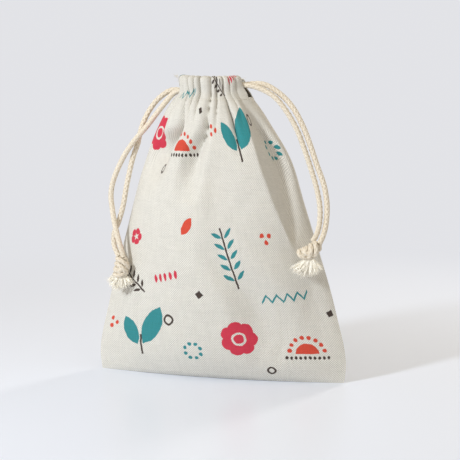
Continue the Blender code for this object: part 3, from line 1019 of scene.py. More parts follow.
BACK_CREASES = (
    Crease((
        (156, -0.68, 2.9, 0.08, 0.09), (146, -0.68, 3.0, 0.09, 0.09), (134, -0.70, 6.0, 0.13, 0.11),
        (118, -0.72, 8.4, 0.18, 0.12), (100, -0.74, 6.0, 0.19, 0.13), (86, -0.76, 3.0, 0.17, 0.13),
        (70, -0.78, 0.0, 0.16, 0.13),
    )),
    Crease((
        (156, -0.50, 3.0, 0.09, 0.08), (146, -0.50, 3.0, 0.09, 0.08), (137, -0.48, 1.4, 0.08, 0.08),
        (126, -0.46, 0.0, 0.10, 0.10),
    )),
    Crease((
        (156, -0.33, 3.0, 0.08, 0.08), (146, -0.33, 3.2, 0.08, 0.08), (136, -0.28, 4.2, 0.08, 0.13),
        (126, -0.24, 4.8, 0.10, 0.17), (114, -0.19, 2.6, 0.11, 0.18), (100, -0.15, 0.0, 0.12, 0.18),
    )),
    Crease((
        (156, -0.17, 3.0, 0.08, 0.07), (146, -0.17, 3.0, 0.08, 0.07), (136, -0.15, 1.0, 0.08, 0.08),
        (127, -0.13, 0.0, 0.10, 0.10),
    )),
    Crease((
        (156, -0.02, 3.2, 0.07, 0.07), (146, -0.02, 3.2, 0.07, 0.07), (136, -0.01, 2.4, 0.08, 0.08),
        (122, 0.01, 0.0, 0.10, 0.10),
    )),
    Crease((
        (156, 0.13, 3.0, 0.07, 0.08), (146, 0.13, 3.2, 0.07, 0.08), (136, 0.19, 4.4, 0.13, 0.08),
        (124, 0.24, 5.2, 0.17, 0.09), (110, 0.29, 2.4, 0.17, 0.10), (95, 0.32, 0.0, 0.16, 0.12),
    )),
    Crease((
        (156, 0.30, 3.0, 0.08, 0.08), (146, 0.30, 3.0, 0.08, 0.08), (137, 0.32, 1.2, 0.08, 0.08),
        (128, 0.34, 0.0, 0.10, 0.10),
    )),
    Crease((
        (156, 0.46, 3.0, 0.08, 0.10), (146, 0.46, 3.0, 0.08, 0.10), (136, 0.49, 1.4, 0.08, 0.10),
        (126, 0.52, 0.0, 0.10, 0.10),
    )),
    Crease((
        (156, 0.66, 3.2, 0.10, 0.10), (146, 0.66, 3.6, 0.10, 0.12), (132, 0.67, 5.2, 0.10, 0.16),
        (118, 0.69, 6.0, 0.11, 0.18), (100, 0.71, 3.6, 0.11, 0.18), (80, 0.74, 0.0, 0.12, 0.18),
    )),
    Crease(((70, -0.45, 0.0, 0.3, 0.3), (40, -0.50, 1.4, 0.32, 0.34), (14, -0.55, 0.0, 0.3, 0.3))),
    Crease(((84, 0.40, 0.0, 0.3, 0.3), (50, 0.36, 1.2, 0.34, 0.30), (20, 0.30, 0.0, 0.3, 0.3))),
)


@dataclass(frozen=True)
class Wrinkles:
    """Small dents of a panel: soft slanting grooves of chance place, length and depth.

    The ranges of place are in metres and in shares of the panel, and those of the grooves'
    lengths, widths and depths are in millimetres. A depth below zero stands out.
    """

    count: int = 70
    heights: tuple[float, float] = (0.006, 0.140)
    shares: tuple[float, float] = (-0.92, 0.92)
    lengths: tuple[float, float] = (7.0, 20.0)
    widths: tuple[float, float] = (1.4, 4.2)
    depths: tuple[float, float] = (-0.22, 0.34)
    slant_scatter: float = 0.45
    slant_outwards: float = 0.5
    front_seed: int = 11
    back_seed: int = 12

    def pull(self, panel: Panel, heights: Array, shares: Array, half_width: float) -> Array:
        """How far the dents draw the cloth in.

        Each is a bell curve along and across its own line, and they are added up.

        Args:
            panel: front or back.
            heights: height of each row.
            shares: share of the panel of each column.
            half_width: half the flat panel's width, which a share of 1 stands for.

        Returns:
            Depth in metres, one row for each height.
        """
        chance = np.random.default_rng(self.front_seed if panel is Panel.FRONT else self.back_seed)
        high = chance.uniform(*self.heights, self.count)
        share = chance.uniform(*self.shares, self.count)
        long = chance.uniform(*self.lengths, self.count) * MM
        wide = chance.uniform(*self.widths, self.count) * MM
        slant = chance.normal(0.0, self.slant_scatter, self.count) + self.slant_outwards * share
        depth = chance.uniform(*self.depths, self.count) * MM
        total = np.zeros((len(heights), len(shares)))
        for index in range(self.count):
            up = (heights - high[index])[:, None]
            aside = ((shares - share[index]) * half_width)[None, :]
            along = up * math.cos(slant[index]) + aside * math.sin(slant[index])
            across = aside * math.cos(slant[index]) - up * math.sin(slant[index])
            total += depth[index] * np.exp(-((along / long[index]) ** 2) - (across / wide[index]) ** 2)
        return total


@dataclass(frozen=True)
class PouchForm:
    """Outer form of the standing pouch: its outline, its lean and the creases of both panels.

    Each row of the outline is a height, the half width and the half depth there in millimetres,
    and the sharpness k of the seams, which is 0.5 for an oval and 1 for a lens.
    """

    standing_height: float = 156.0 * MM
    casing_depth: float = 13.0 * MM
    neck_lean: float = 4.8 * MM
    neck_lean_power: float = 2.5
    side_opening: float = 3.7 * MM
    seam_strip: float = 0.12
    corner_flare: float = 3.0 * MM
    corner_height: float = 147.2 * MM
    corner_reach: float = 2.8 * MM
    flank_swell: float = 1.7 * MM
    flank_height: float = 113.0 * MM
    flank_reach: float = 13.0 * MM
    right_part_from: float = 0.55
    right_part_width: float = 0.45
    rim_band: float = 5.0 * MM
    rim_scallop: float = 0.34
    back_rim_drop: float = 1.7 * MM
    panel_half_width: float = 65.5 * MM
    wrinkles: Wrinkles = Wrinkles()
    smooth_at_bottom: float = 6.0 * MM
    smooth_at_rim: float = 12.0 * MM
    section_steps: int = 241
    outline: tuple[tuple[float, float, float, float], ...] = (
        (0.0, 65.5, 8.0, 1.0),
        (7.15, 66.3, 12.5, 0.97),
        (35.75, 61.2, 20.5, 0.87),
        (71.5, 51.2, 24.0, 0.74),
        (107.25, 39.8, 23.2, 0.62),
        (128.7, 30.3, 20.5, 0.54),
        (143.0, 21.2, 16.5, 0.5),
        (147.29, 17.3, 14.2, 0.5),
        (151.6, 17.3, 14.2, 0.5),
        (156.0, 17.3, 14.2, 0.5),
    )

    @property
    def body_height(self) -> float:
        """Height of the foot of the casing."""
        return self.standing_height - self.casing_depth

    def section(self, heights: Array) -> Array:
        """Half width, half depth and seam sharpness of the outline.

        Args:
            heights: where the outline is read.

        Returns:
            One row for each height.
        """
        table = np.array(self.outline)
        table[:, :3] *= MM
        return smooth_curve(heights, table)

    def lean(self, heights: Array) -> Array:
        """Sideways lean of the neck, which grows towards the top as a power of the height."""
        return -self.neck_lean * (np.maximum(heights, 0.0) / self.standing_height) ** self.neck_lean_power

    def edge_share(self) -> float:
        """Share of a panel where the side opening begins.

        Returns:
            1 less the share of a quarter of the rim that the opening takes.
        """
        half_width, half_depth, sharpness = self.section(np.array([self.standing_height]))[0]
        readings = 181
        angle = np.linspace(0.0, math.pi / 2, readings)
        x, y = half_width * np.cos(angle), half_depth * np.sin(angle) ** (2 * sharpness)
        return 1.0 - self.side_opening / float(np.hypot(np.diff(x), np.diff(y)).sum())

    def column_angles(self, half_width: Array, half_depth: Array, sharpness: Array, shares: Array) -> Array:
        """Angles at which the columns lie at equal shares of their section's length.

        Args:
            half_width: half width of each section, as a column.
            half_depth: half depth of each section.
            sharpness: seam sharpness of each section.
            shares: share of the panel of each column.

        Returns:
            The angles, one row for each section.
        """
        steps = np.linspace(math.pi, 0.0, self.section_steps)
        x = half_width * np.cos(steps)
        y = half_depth * np.sin(steps).clip(0.0) ** (2 * sharpness)
        run = np.cumsum(np.hypot(np.diff(x, prepend=x[:, :1]), np.diff(y, prepend=y[:, :1])), axis=1)
        run = run / run[:, -1:] * 2 - 1
        return np.vstack([np.interp(shares, row, steps) for row in run])

    def pull(self, panel: Panel, heights: Array, shares: Array, flatten: Array) -> Array:
        """How far the creases and the wrinkles draw the cloth in. Both fade out beside the seams.

        Args:
            panel: front or back.
            heights: height of each row.
            shares: share of the panel of each column.
            flatten: share of the creases' depth that each row keeps.

        Returns:
            Depth in metres, one row for each height.
        """
        creases = FRONT_CREASES if panel is Panel.FRONT else BACK_CREASES
        beside_seam = smooth_step((1.0 - np.abs(shares)) / self.seam_strip)[None, :]
        folds = sum(crease.pull(heights, shares) for crease in creases)
        folds = folds * flatten[:, None] * beside_seam
        below_rim = self.standing_height - heights
        rough = smooth_step(heights / self.smooth_at_bottom) * smooth_step(below_rim / self.smooth_at_rim)
        dents = self.wrinkles.pull(panel, heights, shares, self.panel_half_width)
        return folds + dents * beside_seam * rough[:, None]

    def right_spread(self, panel: Panel, heights: Array, shares: Array) -> Array:
        """How far the right end of the casing flares, and the right flank swells.

        Args:
            panel: front or back.
            heights: height of each row.
            shares: share of the panel of each column.

        Returns:
            Distance to the right, one row for each height.
        """
        rightwards = -panel.value * shares - self.right_part_from
        to_right = smooth_step(rightwards / self.right_part_width)[None, :]
        spread = self.corner_flare * bell(heights, self.corner_height, self.corner_reach)
        spread += self.flank_swell * bell(heights, self.flank_height, self.flank_reach)
        return to_right * spread[:, None]

    def surface(self, panel: Panel, heights: Array, shares: Array, inset: Array, flatten: Array) -> Array:
        """Points of a panel's outer face.

        At each height the panel is half of the section x = a cos t, y = b sin^(2k) t, with its
        columns at equal shares of its length. Each point is then drawn in along the section's
        normal by the inset, the creases and the wrinkles. The right end of the casing flares round
        the cord that leaves it there, and the right flank swells a little below the neck. The rim
        dips where a pleat's valley is deep, and the back rim lies a little lower than the front one.

        Args:
            panel: front or back.
            heights: height of each row of the outline.
            shares: share of the panel of each column, from -1 to 1 as seen from outside.
            inset: how far each row lies inside the outline, in metres.
            flatten: share of the creases' depth that each row keeps.

        Returns:
            Array of rows, columns and coordinates.
        """
        least = 1e-9
        half_width, half_depth, sharpness = self.section(heights).T[:, :, None]
        angle = self.column_angles(half_width, half_depth, sharpness, shares)
        sine, cosine = np.sin(angle).clip(least), np.cos(angle)
        turn_x = -half_width * sine
        turn_y = 2 * sharpness * half_depth * sine ** (2 * sharpness - 1) * cosine
        size = np.hypot(turn_x, turn_y).clip(least)
        normal_x, normal_y = turn_y / size, -turn_x / size
        pull = self.pull(panel, heights, shares, flatten)
        side = panel.value
        px = -side * ((half_width - inset[:, None]) * cosine - normal_x * pull)
        py = side * ((half_depth - inset[:, None]) * sine ** (2 * sharpness) - normal_y * pull)
        px = px + self.lean(heights)[:, None] + self.right_spread(panel, heights, shares)
        near_rim = smooth_step((heights - self.standing_height + self.rim_band) / self.rim_band)[:, None]
        pz = heights[:, None] - self.rim_scallop * np.maximum(pull, 0.0) * near_rim
        if panel is Panel.BACK:
            below_rim = self.standing_height - heights[:, None]
            pz = pz - self.back_rim_drop * smooth_step(1.0 - below_rim / self.casing_depth)
        return np.stack((px, py, pz), axis=-1)


@dataclass
class PouchCloth:
    """The sewn sheet: both panels, the bottom fold and the casing turned over at the top.

    The bottom's rows are shares of the way from its middle out to the fold, and the fold's turns
    are in degrees. The insets of the casing's inner layer and hem are those from the outline.
    """

    form: PouchForm
    thickness: float = 0.55 * MM
    flat_size: tuple[float, float] = (131.0 * MM, 385.0 * MM)
    fold_radius: float = 1.3 * MM
    fold_turns: tuple[float, ...] = (0.0, 22.0, 44.0, 66.0)
    bottom_rows: tuple[float, ...] = (0.0, 0.3, 0.6, 0.85)
    inner_layer_inset: float = 8.7 * MM
    inner_layer_pleats: float = 0.5
    hem_inset: float = 2.1 * MM
    hem_tail: float = 1.8 * MM
    casing_start: float = 0.10
    weld_distance: float = 0.01 * MM
    sharp_edge_angle: float = 60.0
    body_rows: int = 112
    body_row_spread: tuple[float, float] = (0.72, 0.28)
    casing_rows: int = 40
    columns_in_pleat: int = 12
    columns_in_seam: int = 4
    valleys: dict[Panel, tuple[float, ...]] = field(default_factory=lambda: {
        Panel.FRONT: (-0.65, -0.45, -0.27, -0.13, 0.14, 0.27, 0.40, 0.54, 0.69),
        Panel.BACK: (-0.68, -0.50, -0.33, -0.17, -0.02, 0.13, 0.30, 0.46, 0.66),
    })

    def columns(self, panel: Panel) -> Array:
        """Shares of the columns, closest together beside the valleys of the casing.

        Args:
            panel: front or back.

        Returns:
            The shares, from -1 to 1.
        """
        edge = self.form.edge_share()
        bounds = [-edge, *self.valleys[panel], edge]
        spread = 0.5 - 0.5 * np.cos(np.linspace(0.0, math.pi, self.columns_in_pleat, endpoint=False))
        seam = np.linspace(0.0, 1.0, self.columns_in_seam, endpoint=False)
        pleats = [low + (high - low) * spread for low, high in zip(bounds[:-1], bounds[1:])]
        return np.concatenate((-1.0 + (1.0 - edge) * seam, *pleats, edge + (1.0 - edge) * seam, [1.0]))

    def bottom(self, panel: Panel, shares: Array) -> Array:
        """Rows from the middle of the bottom out to its rounded fold, up to where the wall begins.

        Args:
            panel: front or back.
            shares: share of the panel of each column.

        Returns:
            Array of rows, columns and coordinates.
        """
        flat = self.form.surface(panel, np.zeros(1), shares, np.zeros(1), np.zeros(1))[0]
        corner = 1.0 - self.fold_radius / (self.form.outline[0][2] * MM)
        inward = np.array(self.bottom_rows) * corner
        turn = np.radians(self.fold_turns)
        depth = np.concatenate((inward, corner + (1.0 - corner) * np.sin(turn)))
        level = np.concatenate((np.zeros(len(inward)), self.fold_radius * (1.0 - np.cos(turn))))
        rows = np.repeat(flat[None], len(depth), axis=0)
        rows[:, :, 1] *= depth[:, None]
        rows[:, :, 2] = level[:, None]
        return rows

    def body(self, panel: Panel, shares: Array) -> Array:
        """Rows of the wall, from the bottom fold to the foot of the casing.

        The rows are a mixture of even ones and of ones that crowd towards the top.

        Args:
            panel: front or back.
            shares: share of the panel of each column.

        Returns:
            Array of rows, columns and coordinates.
        """
        low = self.fold_radius
        high = self.form.body_height + self.casing_start * self.form.casing_depth
        climb = np.linspace(0.0, 1.0, self.body_rows)
        even, crowded = self.body_row_spread
        heights = low + (high - low) * (even * climb + crowded * (1.0 - (1.0 - climb) ** 2))
        return self.form.surface(panel, heights, shares, np.zeros(len(heights)), np.ones(len(heights)))

    def casing(self, panel: Panel, shares: Array) -> Array:
        """Rows of the casing: up its front, over the top fold, down inside and back to the wall.

        The path is a smooth curve through its stations, each an inset and a share of the casing's
        depth. Its pleats are shallower on the inner layer, which runs on the inside of the bend.

        Args:
            panel: front or back.
            shares: share of the panel of each column.

        Returns:
            Array of rows, columns and coordinates.
        """
        inner, hem, depth = self.inner_layer_inset, self.hem_inset, self.form.casing_depth
        path = np.array((
            (0.0, self.casing_start), (0.0, 0.30), (0.0, 0.55), (0.0, 0.80),
            (0.07 * inner, 0.94), (0.30 * inner, 1.0), (0.62 * inner, 0.94), (0.89 * inner, 0.75),
            (inner, 0.46), (0.955 * inner, 0.20), (0.5 * (inner + hem), 0.05),
            (hem + 0.045 * (inner - hem), -0.02), (hem, -self.hem_tail / depth),
        ))
        path[:, 1] = self.form.body_height + path[:, 1] * depth
        stations = np.column_stack((np.linspace(0.0, 1.0, len(path)), path))
        inset, heights = smooth_curve(np.linspace(0.0, 1.0, self.casing_rows), stations)[1:].T
        keep = 1.0 - self.inner_layer_pleats * np.clip(inset / inner, 0.0, 1.0)
        return self.form.surface(panel, heights, shares, inset, keep)

    def panel_mesh(self, panel: Panel) -> tuple[Array, Faces, Array]:
        """One panel, without its side openings.

        The pattern map is the flat sheet: across it in shares of the panel's width, and along it
        by the length of each row from the middle of the bottom.

        Args:
            panel: front or back.

        Returns:
            Its points, its faces and the pattern coordinates of their corners.
        """
        shares = self.columns(panel)
        rows = [self.bottom(panel, shares), self.body(panel, shares), self.casing(panel, shares)]
        first_of_casing = len(rows[0]) + len(rows[1])
        grid = np.concatenate(rows)
        height, width = grid.shape[:2]
        faces = grid_faces(height, width)
        row = np.repeat(np.arange(height - 1), width - 1)
        column = np.tile(np.arange(width - 1), height - 1)
        beside = (column < self.columns_in_seam) | (column >= width - 1 - self.columns_in_seam)
        faces = faces[~((row >= first_of_casing) & beside)]
        run = lengths_along(grid[:, width // 2])
        side = panel.value
        across = np.broadcast_to(-side * shares * self.form.panel_half_width, (height, width))
        along = np.broadcast_to((-side * run)[:, None], (height, width))
        flat = np.stack((across, along), axis=-1).reshape(-1, 2)
        return grid.reshape(-1, 3), faces, flat[faces.reshape(-1)]

    def build(self, material: bpy.types.Material) -> bpy.types.Object:
        """The cloth as one welded sheet with its thickness.

        Args:
            material: the printed cloth.

        Returns:
            The sheet.
        """
        front, back = self.panel_mesh(Panel.FRONT), self.panel_mesh(Panel.BACK)
        points = np.vstack((front[0], back[0]))
        faces = np.vstack((front[1], back[1] + len(front[0])))
        uv = np.vstack((front[2], back[2]))
        cloth = make_object("pouch_sheet", points, faces.tolist(), material, uv)
        builder = bmesh.new()
        builder.from_mesh(cloth.data)
        loose = [vert for vert in builder.verts if not vert.link_faces]
        bmesh.ops.delete(builder, geom=loose, context="VERTS")
        bmesh.ops.remove_doubles(builder, verts=builder.verts, dist=self.weld_distance)
        bmesh.ops.recalc_face_normals(builder, faces=builder.faces)
        builder.to_mesh(cloth.data)
        builder.free()
        cloth.data.set_sharp_from_angle(angle=math.radians(self.sharp_edge_angle))
        wall = cloth.modifiers.new("wall", "SOLIDIFY")
        wall.thickness = self.thickness
        wall.offset = -1.0
        return cloth


# Cords


@dataclass(frozen=True)
class CordRoute:
    """Where a cord runs: its two strands from the knot up, and its turn round the neck.

    The turn is an ellipse at one height, from one angle to another in degrees, counted from the
    right by way of the back.
    """

    side: Side
    front: tuple[Point, ...]
    back: tuple[Point, ...]
    ring_height: float
    ring_turn: tuple[float, float]


LEFT_ROUTE = CordRoute(
    Side.LEFT,
    (
        (-0.0483, -0.0136, 0.0620), (-0.0508, -0.0132, 0.0700), (-0.0533, -0.0118, 0.0775),
        (-0.0556, -0.0096, 0.0860), (-0.0567, -0.0086, 0.0935), (-0.0555, -0.0081, 0.1010),
        (-0.0502, -0.0079, 0.1129), (-0.0459, -0.0077, 0.1195), (-0.0412, -0.0074, 0.1252),
        (-0.0378, -0.0064, 0.1292), (-0.0333, -0.0047, 0.1354), (-0.0284, -0.0028, 0.1420),
        (-0.0244, -0.0017, 0.1464), (-0.0202, -0.0017, 0.1476),
    ),
    (
        (-0.0511, -0.0131, 0.0623), (-0.0542, -0.0110, 0.0675), (-0.0550, -0.0088, 0.0737),
        (-0.0529, -0.0074, 0.0800), (-0.0507, -0.0070, 0.0878), (-0.0490, -0.0057, 0.0987),
        (-0.0460, -0.0045, 0.1127), (-0.0434, -0.0037, 0.1205), (-0.0427, -0.0035, 0.1240),
        (-0.0413, -0.0028, 0.1295), (-0.0383, -0.0008, 0.1368), (-0.0334, 0.0008, 0.1434),
        (-0.0270, 0.0017, 0.1476), (-0.0204, 0.0017, 0.1477),
    ),
    147.75 * MM,
    (211.0, 509.0),
)

RIGHT_ROUTE = CordRoute(
    Side.RIGHT,
    (
        (0.0518, -0.0144, 0.0745), (0.0534, -0.0126, 0.0776), (0.0543, -0.0103, 0.0825),
        (0.0541, -0.0081, 0.0902), (0.0521, -0.0064, 0.0994), (0.0491, -0.0052, 0.1083),
        (0.0451, -0.0041, 0.1190), (0.0406, -0.0030, 0.1294), (0.0346, -0.0021, 0.1388),
        (0.0287, -0.0017, 0.1453), (0.0220, -0.0016, 0.1491), (0.0160, -0.0017, 0.1508),
        (0.0115, -0.0018, 0.1509),
    ),
    (
        (0.0551, -0.0140, 0.0730), (0.0567, -0.0115, 0.0775), (0.0574, -0.0084, 0.0835),
        (0.0572, -0.0061, 0.0925), (0.0552, -0.0046, 0.1019), (0.0514, -0.0033, 0.1112),
        (0.0474, -0.0020, 0.1216), (0.0426, -0.0006, 0.1322), (0.0366, 0.0006, 0.1414),
        (0.0298, 0.0013, 0.1475), (0.0226, 0.0016, 0.1513), (0.0164, 0.0017, 0.1516),
        (0.0116, 0.0018, 0.1509),
    ),
    150.7 * MM,
    (331.0, 29.0),
)


@dataclass
class DrawCord:
    """A braided cord: two strands that hang at one side, and its turn inside the casing.

    The ring's insets are how far its half width and its half depth lie inside the outline's.
    """

    form: PouchForm
    route: CordRoute
    diameter: float = 2.8 * MM
    ring_inset: tuple[float, float] = (4.8 * MM, 5.4 * MM)
    ring_points: int = 25
    braid_depth: float = 0.27 * MM
    sides: int = 24
    step: float = 0.33 * MM

    def ring(self) -> Array:
        """The turn round the neck: an ellipse inside the casing, at the cord's own height.

        Returns:
            Its points, one row each.
        """
        angle = np.radians(np.linspace(*self.route.ring_turn, self.ring_points))
        height = np.array([self.route.ring_height])
        half_width, half_depth = self.form.section(height)[0, :2]
        x = (half_width - self.ring_inset[0]) * np.cos(angle) + self.form.lean(height)[0]
        y = (half_depth - self.ring_inset[1]) * np.sin(angle)
        return np.column_stack((x, y, np.full(len(angle), self.route.ring_height)))

    def braid(self, length: Array) -> Array:
        """Radius of the braid: the ridges of its two sets of slanting yarns.

        The ridge is the larger of cos(n a + k s) and cos(n a - k s) at the angle a and length s.

        Args:
            length: length along the cord at each row.

        Returns:
            One row for each length, one column for each side.
        """
        angle = np.linspace(0.0, FULL_TURN, self.sides, endpoint=False)
        turn, climb = CARRIERS * angle[None, :], (FULL_TURN / BRAID_LAY) * length[:, None]
        ridge = np.maximum(np.cos(turn + climb), np.cos(turn - climb))
        return 0.5 * self.diameter - 0.5 * self.braid_depth + 0.5 * self.braid_depth * ridge

    def build(self, material: bpy.types.Material) -> dict[str, tuple[bpy.types.Object, Array]]:
        """The three stretches of the cord, whose braid runs on from one to the next.

        Args:
            material: the braided cotton.

        Returns:
            Each stretch with its centre line, by name.
        """
        front, back = np.array(self.route.front), np.array(self.route.back)
        whole = smooth_route(np.vstack((front, self.ring(), back[::-1])), self.step)
        first = int(np.argmin(np.linalg.norm(whole - front[-1], axis=1)))
        last = int(np.argmin(np.linalg.norm(whole - back[-1], axis=1)))
        stretches = {}
        for part, begin, end in (
            ("front_strand", 0, first + 1),
            ("casing_turn", first, last + 1),
            ("back_strand", last, len(whole)),
        ):
            name, path = f"{self.route.side.value}_{part}", whole[begin:end]
            start = self.step * begin
            radius = self.braid(start + lengths_along(path))
            stretches[name] = (tube_object(name, path, radius, start, material), path)
        return stretches


@dataclass(frozen=True)
class CordEnd:
    """A cord's knot and the frayed ends under it.

    The reach is the knot's half size across, in depth and along its axis, and the tilt is how far
    that axis leans to the right in degrees. The fray is the half width, the half depth and the
    length of the frayed ends, and the slant is how far they hang to the side.
    """

    centre: Point
    reach: Point
    tilt: float
    fray: Point
    slant: float
    seed: int


LEFT_END = CordEnd(
    (-49.6 * MM, -13.4 * MM, 56.8 * MM), (4.2 * MM, 3.9 * MM, 5.2 * MM), 12.0,
    (5.2 * MM, 3.4 * MM, 5.2 * MM), -0.8 * MM, 41,
)
RIGHT_END = CordEnd(
    (50.6 * MM, -14.9 * MM, 69.6 * MM), (3.7 * MM, 3.8 * MM, 5.8 * MM), 62.0,
    (5.9 * MM, 3.4 * MM, 6.0 * MM), -1.6 * MM, 57,
)

KNOT_COURSE = (
    (180, 0.35, 1.00), (185, 0.30, 0.50), (195, 0.35, -0.05), (225, 0.60, -0.45), (262, 0.90, -0.68),
    (300, 0.94, -0.80), (345, 0.92, -0.76), (385, 0.92, -0.52), (425, 0.90, -0.20), (465, 0.88, 0.10),
    (505, 0.92, 0.30), (545, 0.96, 0.42), (585, 0.98, 0.50), (625, 0.98, 0.60), (665, 0.98, 0.72),
    (705, 1.02, 0.72), (740, 1.08, 0.54), (772, 1.14, 0.20), (802, 1.12, -0.14), (835, 1.00, -0.30),
    (880, 0.92, -0.24), (925, 0.88, -0.06), (970, 0.88, 0.10), (1015, 0.90, 0.12), (1055, 0.92, 0.00),
    (1095, 0.84, -0.22), (1130, 0.62, -0.55), (1160, 0.36, -0.85), (1175, 0.28, -1.00),
)


@dataclass
class StrandKnot:
    """An overhand knot that a cord's two ends are tied into together, side by side.

    Both strands come down the knot's core, turn out at its foot and climb once round it to the
    top. There they cross down over their own turn in front, pass round once more at middle height
    and leave at the foot. The course lists the angle round the axis from the front in degrees, and
    the shares of the knot's reach across and along its axis.
    """

    cord: DrawCord
    end: CordEnd
    squeeze: float = 0.88
    squeezed_within: float = 2.0 * MM
    gap: float = 1.25 * MM
    line_step: float = 0.8 * MM

    def courses(self) -> tuple[Array, Array]:
        """The pair's middle line in the knot and the direction in which its strands lie apart.

        The strands lie apart along the cross product of the line's direction and the direction
        away from the knot's axis: side by side in the core, one over the other in the turn.

        Returns:
            Points of the line and unit directions, one row each, in the knot's own place and tilt.
        """
        angle, out, level = np.array(KNOT_COURSE).T
        radius = 0.5 * self.cord.diameter * self.squeeze
        across, deep, along = (reach - radius for reach in self.end.reach)
        turn = np.radians(angle)
        line = np.column_stack((out * across * np.sin(turn), -out * deep * np.cos(turn), level * along))
        line = smooth_route(line, self.line_step)
        apart = unit(np.cross(np.gradient(line, axis=0), line * np.array((1.0, 1.0, 0.0))))
        cosine, sine = math.cos(math.radians(self.end.tilt)), math.sin(math.radians(self.end.tilt))
        lean = np.array(((cosine, 0.0, -sine), (0.0, 1.0, 0.0), (sine, 0.0, cosine)))
        return line @ lean + np.array(self.end.centre), apart @ lean

    def build(self, material: bpy.types.Material) -> bpy.types.Object:
        """Both strands of the knot, joined into one piece.

        Args:
            material: the braided cotton.

        Returns:
            The knot.
        """
        route = self.cord.route
        line, apart = self.courses()
        starts = np.array((route.front[0], route.back[0]))
        hand = 1.0 if float(np.dot(starts[0] - starts[1], apart[0])) > 0.0 else -1.0
        strands = []
        for start, side in zip(starts, (hand, -hand)):
            path = smooth_route(np.vstack((start, line + apart * (side * self.gap))), self.cord.step)
            length = self.cord.step * np.arange(len(path))
            slim = 1.0 - (1.0 - self.squeeze) * smooth_step(length / self.squeezed_within)
            radius = self.cord.braid(length) * slim[:, None]
            strands.append(tube_object("knot_strand", path, radius, 0.0, material))
        return join(f"{route.side.value}_overhand_knot", strands, material)


# Fibres and threads


@dataclass(frozen=True)
class Fibres:
    """Many fine tapered fibres, each a closed tube along its own bent line.

    The curl is the size of a fibre's waves and the droop is how far its tip hangs down, both as
    shares of its length.
    """

    segments: int = 9
    sides: int = 3
    curl: float = 0.10
    droop: float = 0.06
    wave_rates: tuple[float, float] = (2.0, 7.0)
    wave_growth: float = 1.4
    taper: float = 0.75
    taper_power: float = 1.5

    def lines(self, starts: Array, run: Array, lengths: Array, seed: int) -> tuple[Array, Array, Array]:
        """The fibres' middle lines, and two directions across each fibre.

        A line is start + direction s + droop s^2 downwards, plus slow waves across it whose size
        grows with s towards the tip.

        Args:
            starts: root of each fibre.
            run: unit direction of each fibre at its root.
            lengths: length of each fibre.
            seed: start of the chance numbers.

        Returns:
            Points of each line, and the two directions.
        """
        chance = np.random.default_rng(seed)
        count = len(starts)
        along = np.linspace(0.0, 1.0, self.segments)
        aside = unit(np.cross(run, chance.normal(size=(count, 3))))
        other = np.cross(run, aside)
        phase = chance.uniform(0.0, FULL_TURN, (count, 4))
        waves = chance.uniform(*self.wave_rates, (count, 2))
        grow = along[None, :] ** self.wave_growth
        first = grow * (np.sin(waves[:, :1] * along + phase[:, :1]) - np.sin(phase[:, :1]))
        second = grow * (np.sin(waves[:, 1:] * along + phase[:, 1:2]) - np.sin(phase[:, 1:2]))
        line = (
            starts[:, None] + run[:, None] * (lengths[:, None] * along)[:, :, None]
            + (aside[:, None] * first[:, :, None] + other[:, None] * second[:, :, None])
            * (self.curl * lengths)[:, None, None]
        )
        line[:, :, 2] -= self.droop * lengths[:, None] * along[None, :] ** 2
        return line, aside, other

    def build(
        self, name: str, starts: Array, aims: Array, lengths: Array, radii: Array, seed: int,
        material: bpy.types.Material,
    ) -> bpy.types.Object:
        """A mesh of fibres.

        Args:
            name: name of the object.
            starts: root of each fibre.
            aims: first direction of each fibre, of any length.
            lengths: length of each fibre.
            radii: radius of each fibre at its root.
            seed: start of the chance numbers.
            material: its finish.

        Returns:
            The new object.
        """
        line, aside, other = self.lines(starts, unit(aims), lengths, seed)
        share = np.linspace(0.0, 1.0, self.segments)[None, :]
        thick = radii[:, None] * (1.0 - self.taper * share**self.taper_power)
        out = directions_round(aside, other, self.sides)
        points = line[:, :, None] + out[:, None] * thick[:, :, None, None]
        faces = closed_tube_faces(len(starts), self.segments, self.sides)
        made = make_object(name, points.reshape(-1, 3), faces, material)
        made.data.shade_flat()
        return made


@dataclass(frozen=True)
class FibreKind:
    """A kind of fibre in a frayed end.

    The scatter is how far its roots lie apart, in millimetres, and the longest is the length of its
    longest fibres as a share of the yarn's.
    """

    name: str
    in_yarn: int
    scatter: float
    radii: tuple[float, ...]
    radius_shares: tuple[float, ...]
    longest: float
    fibres: Fibres


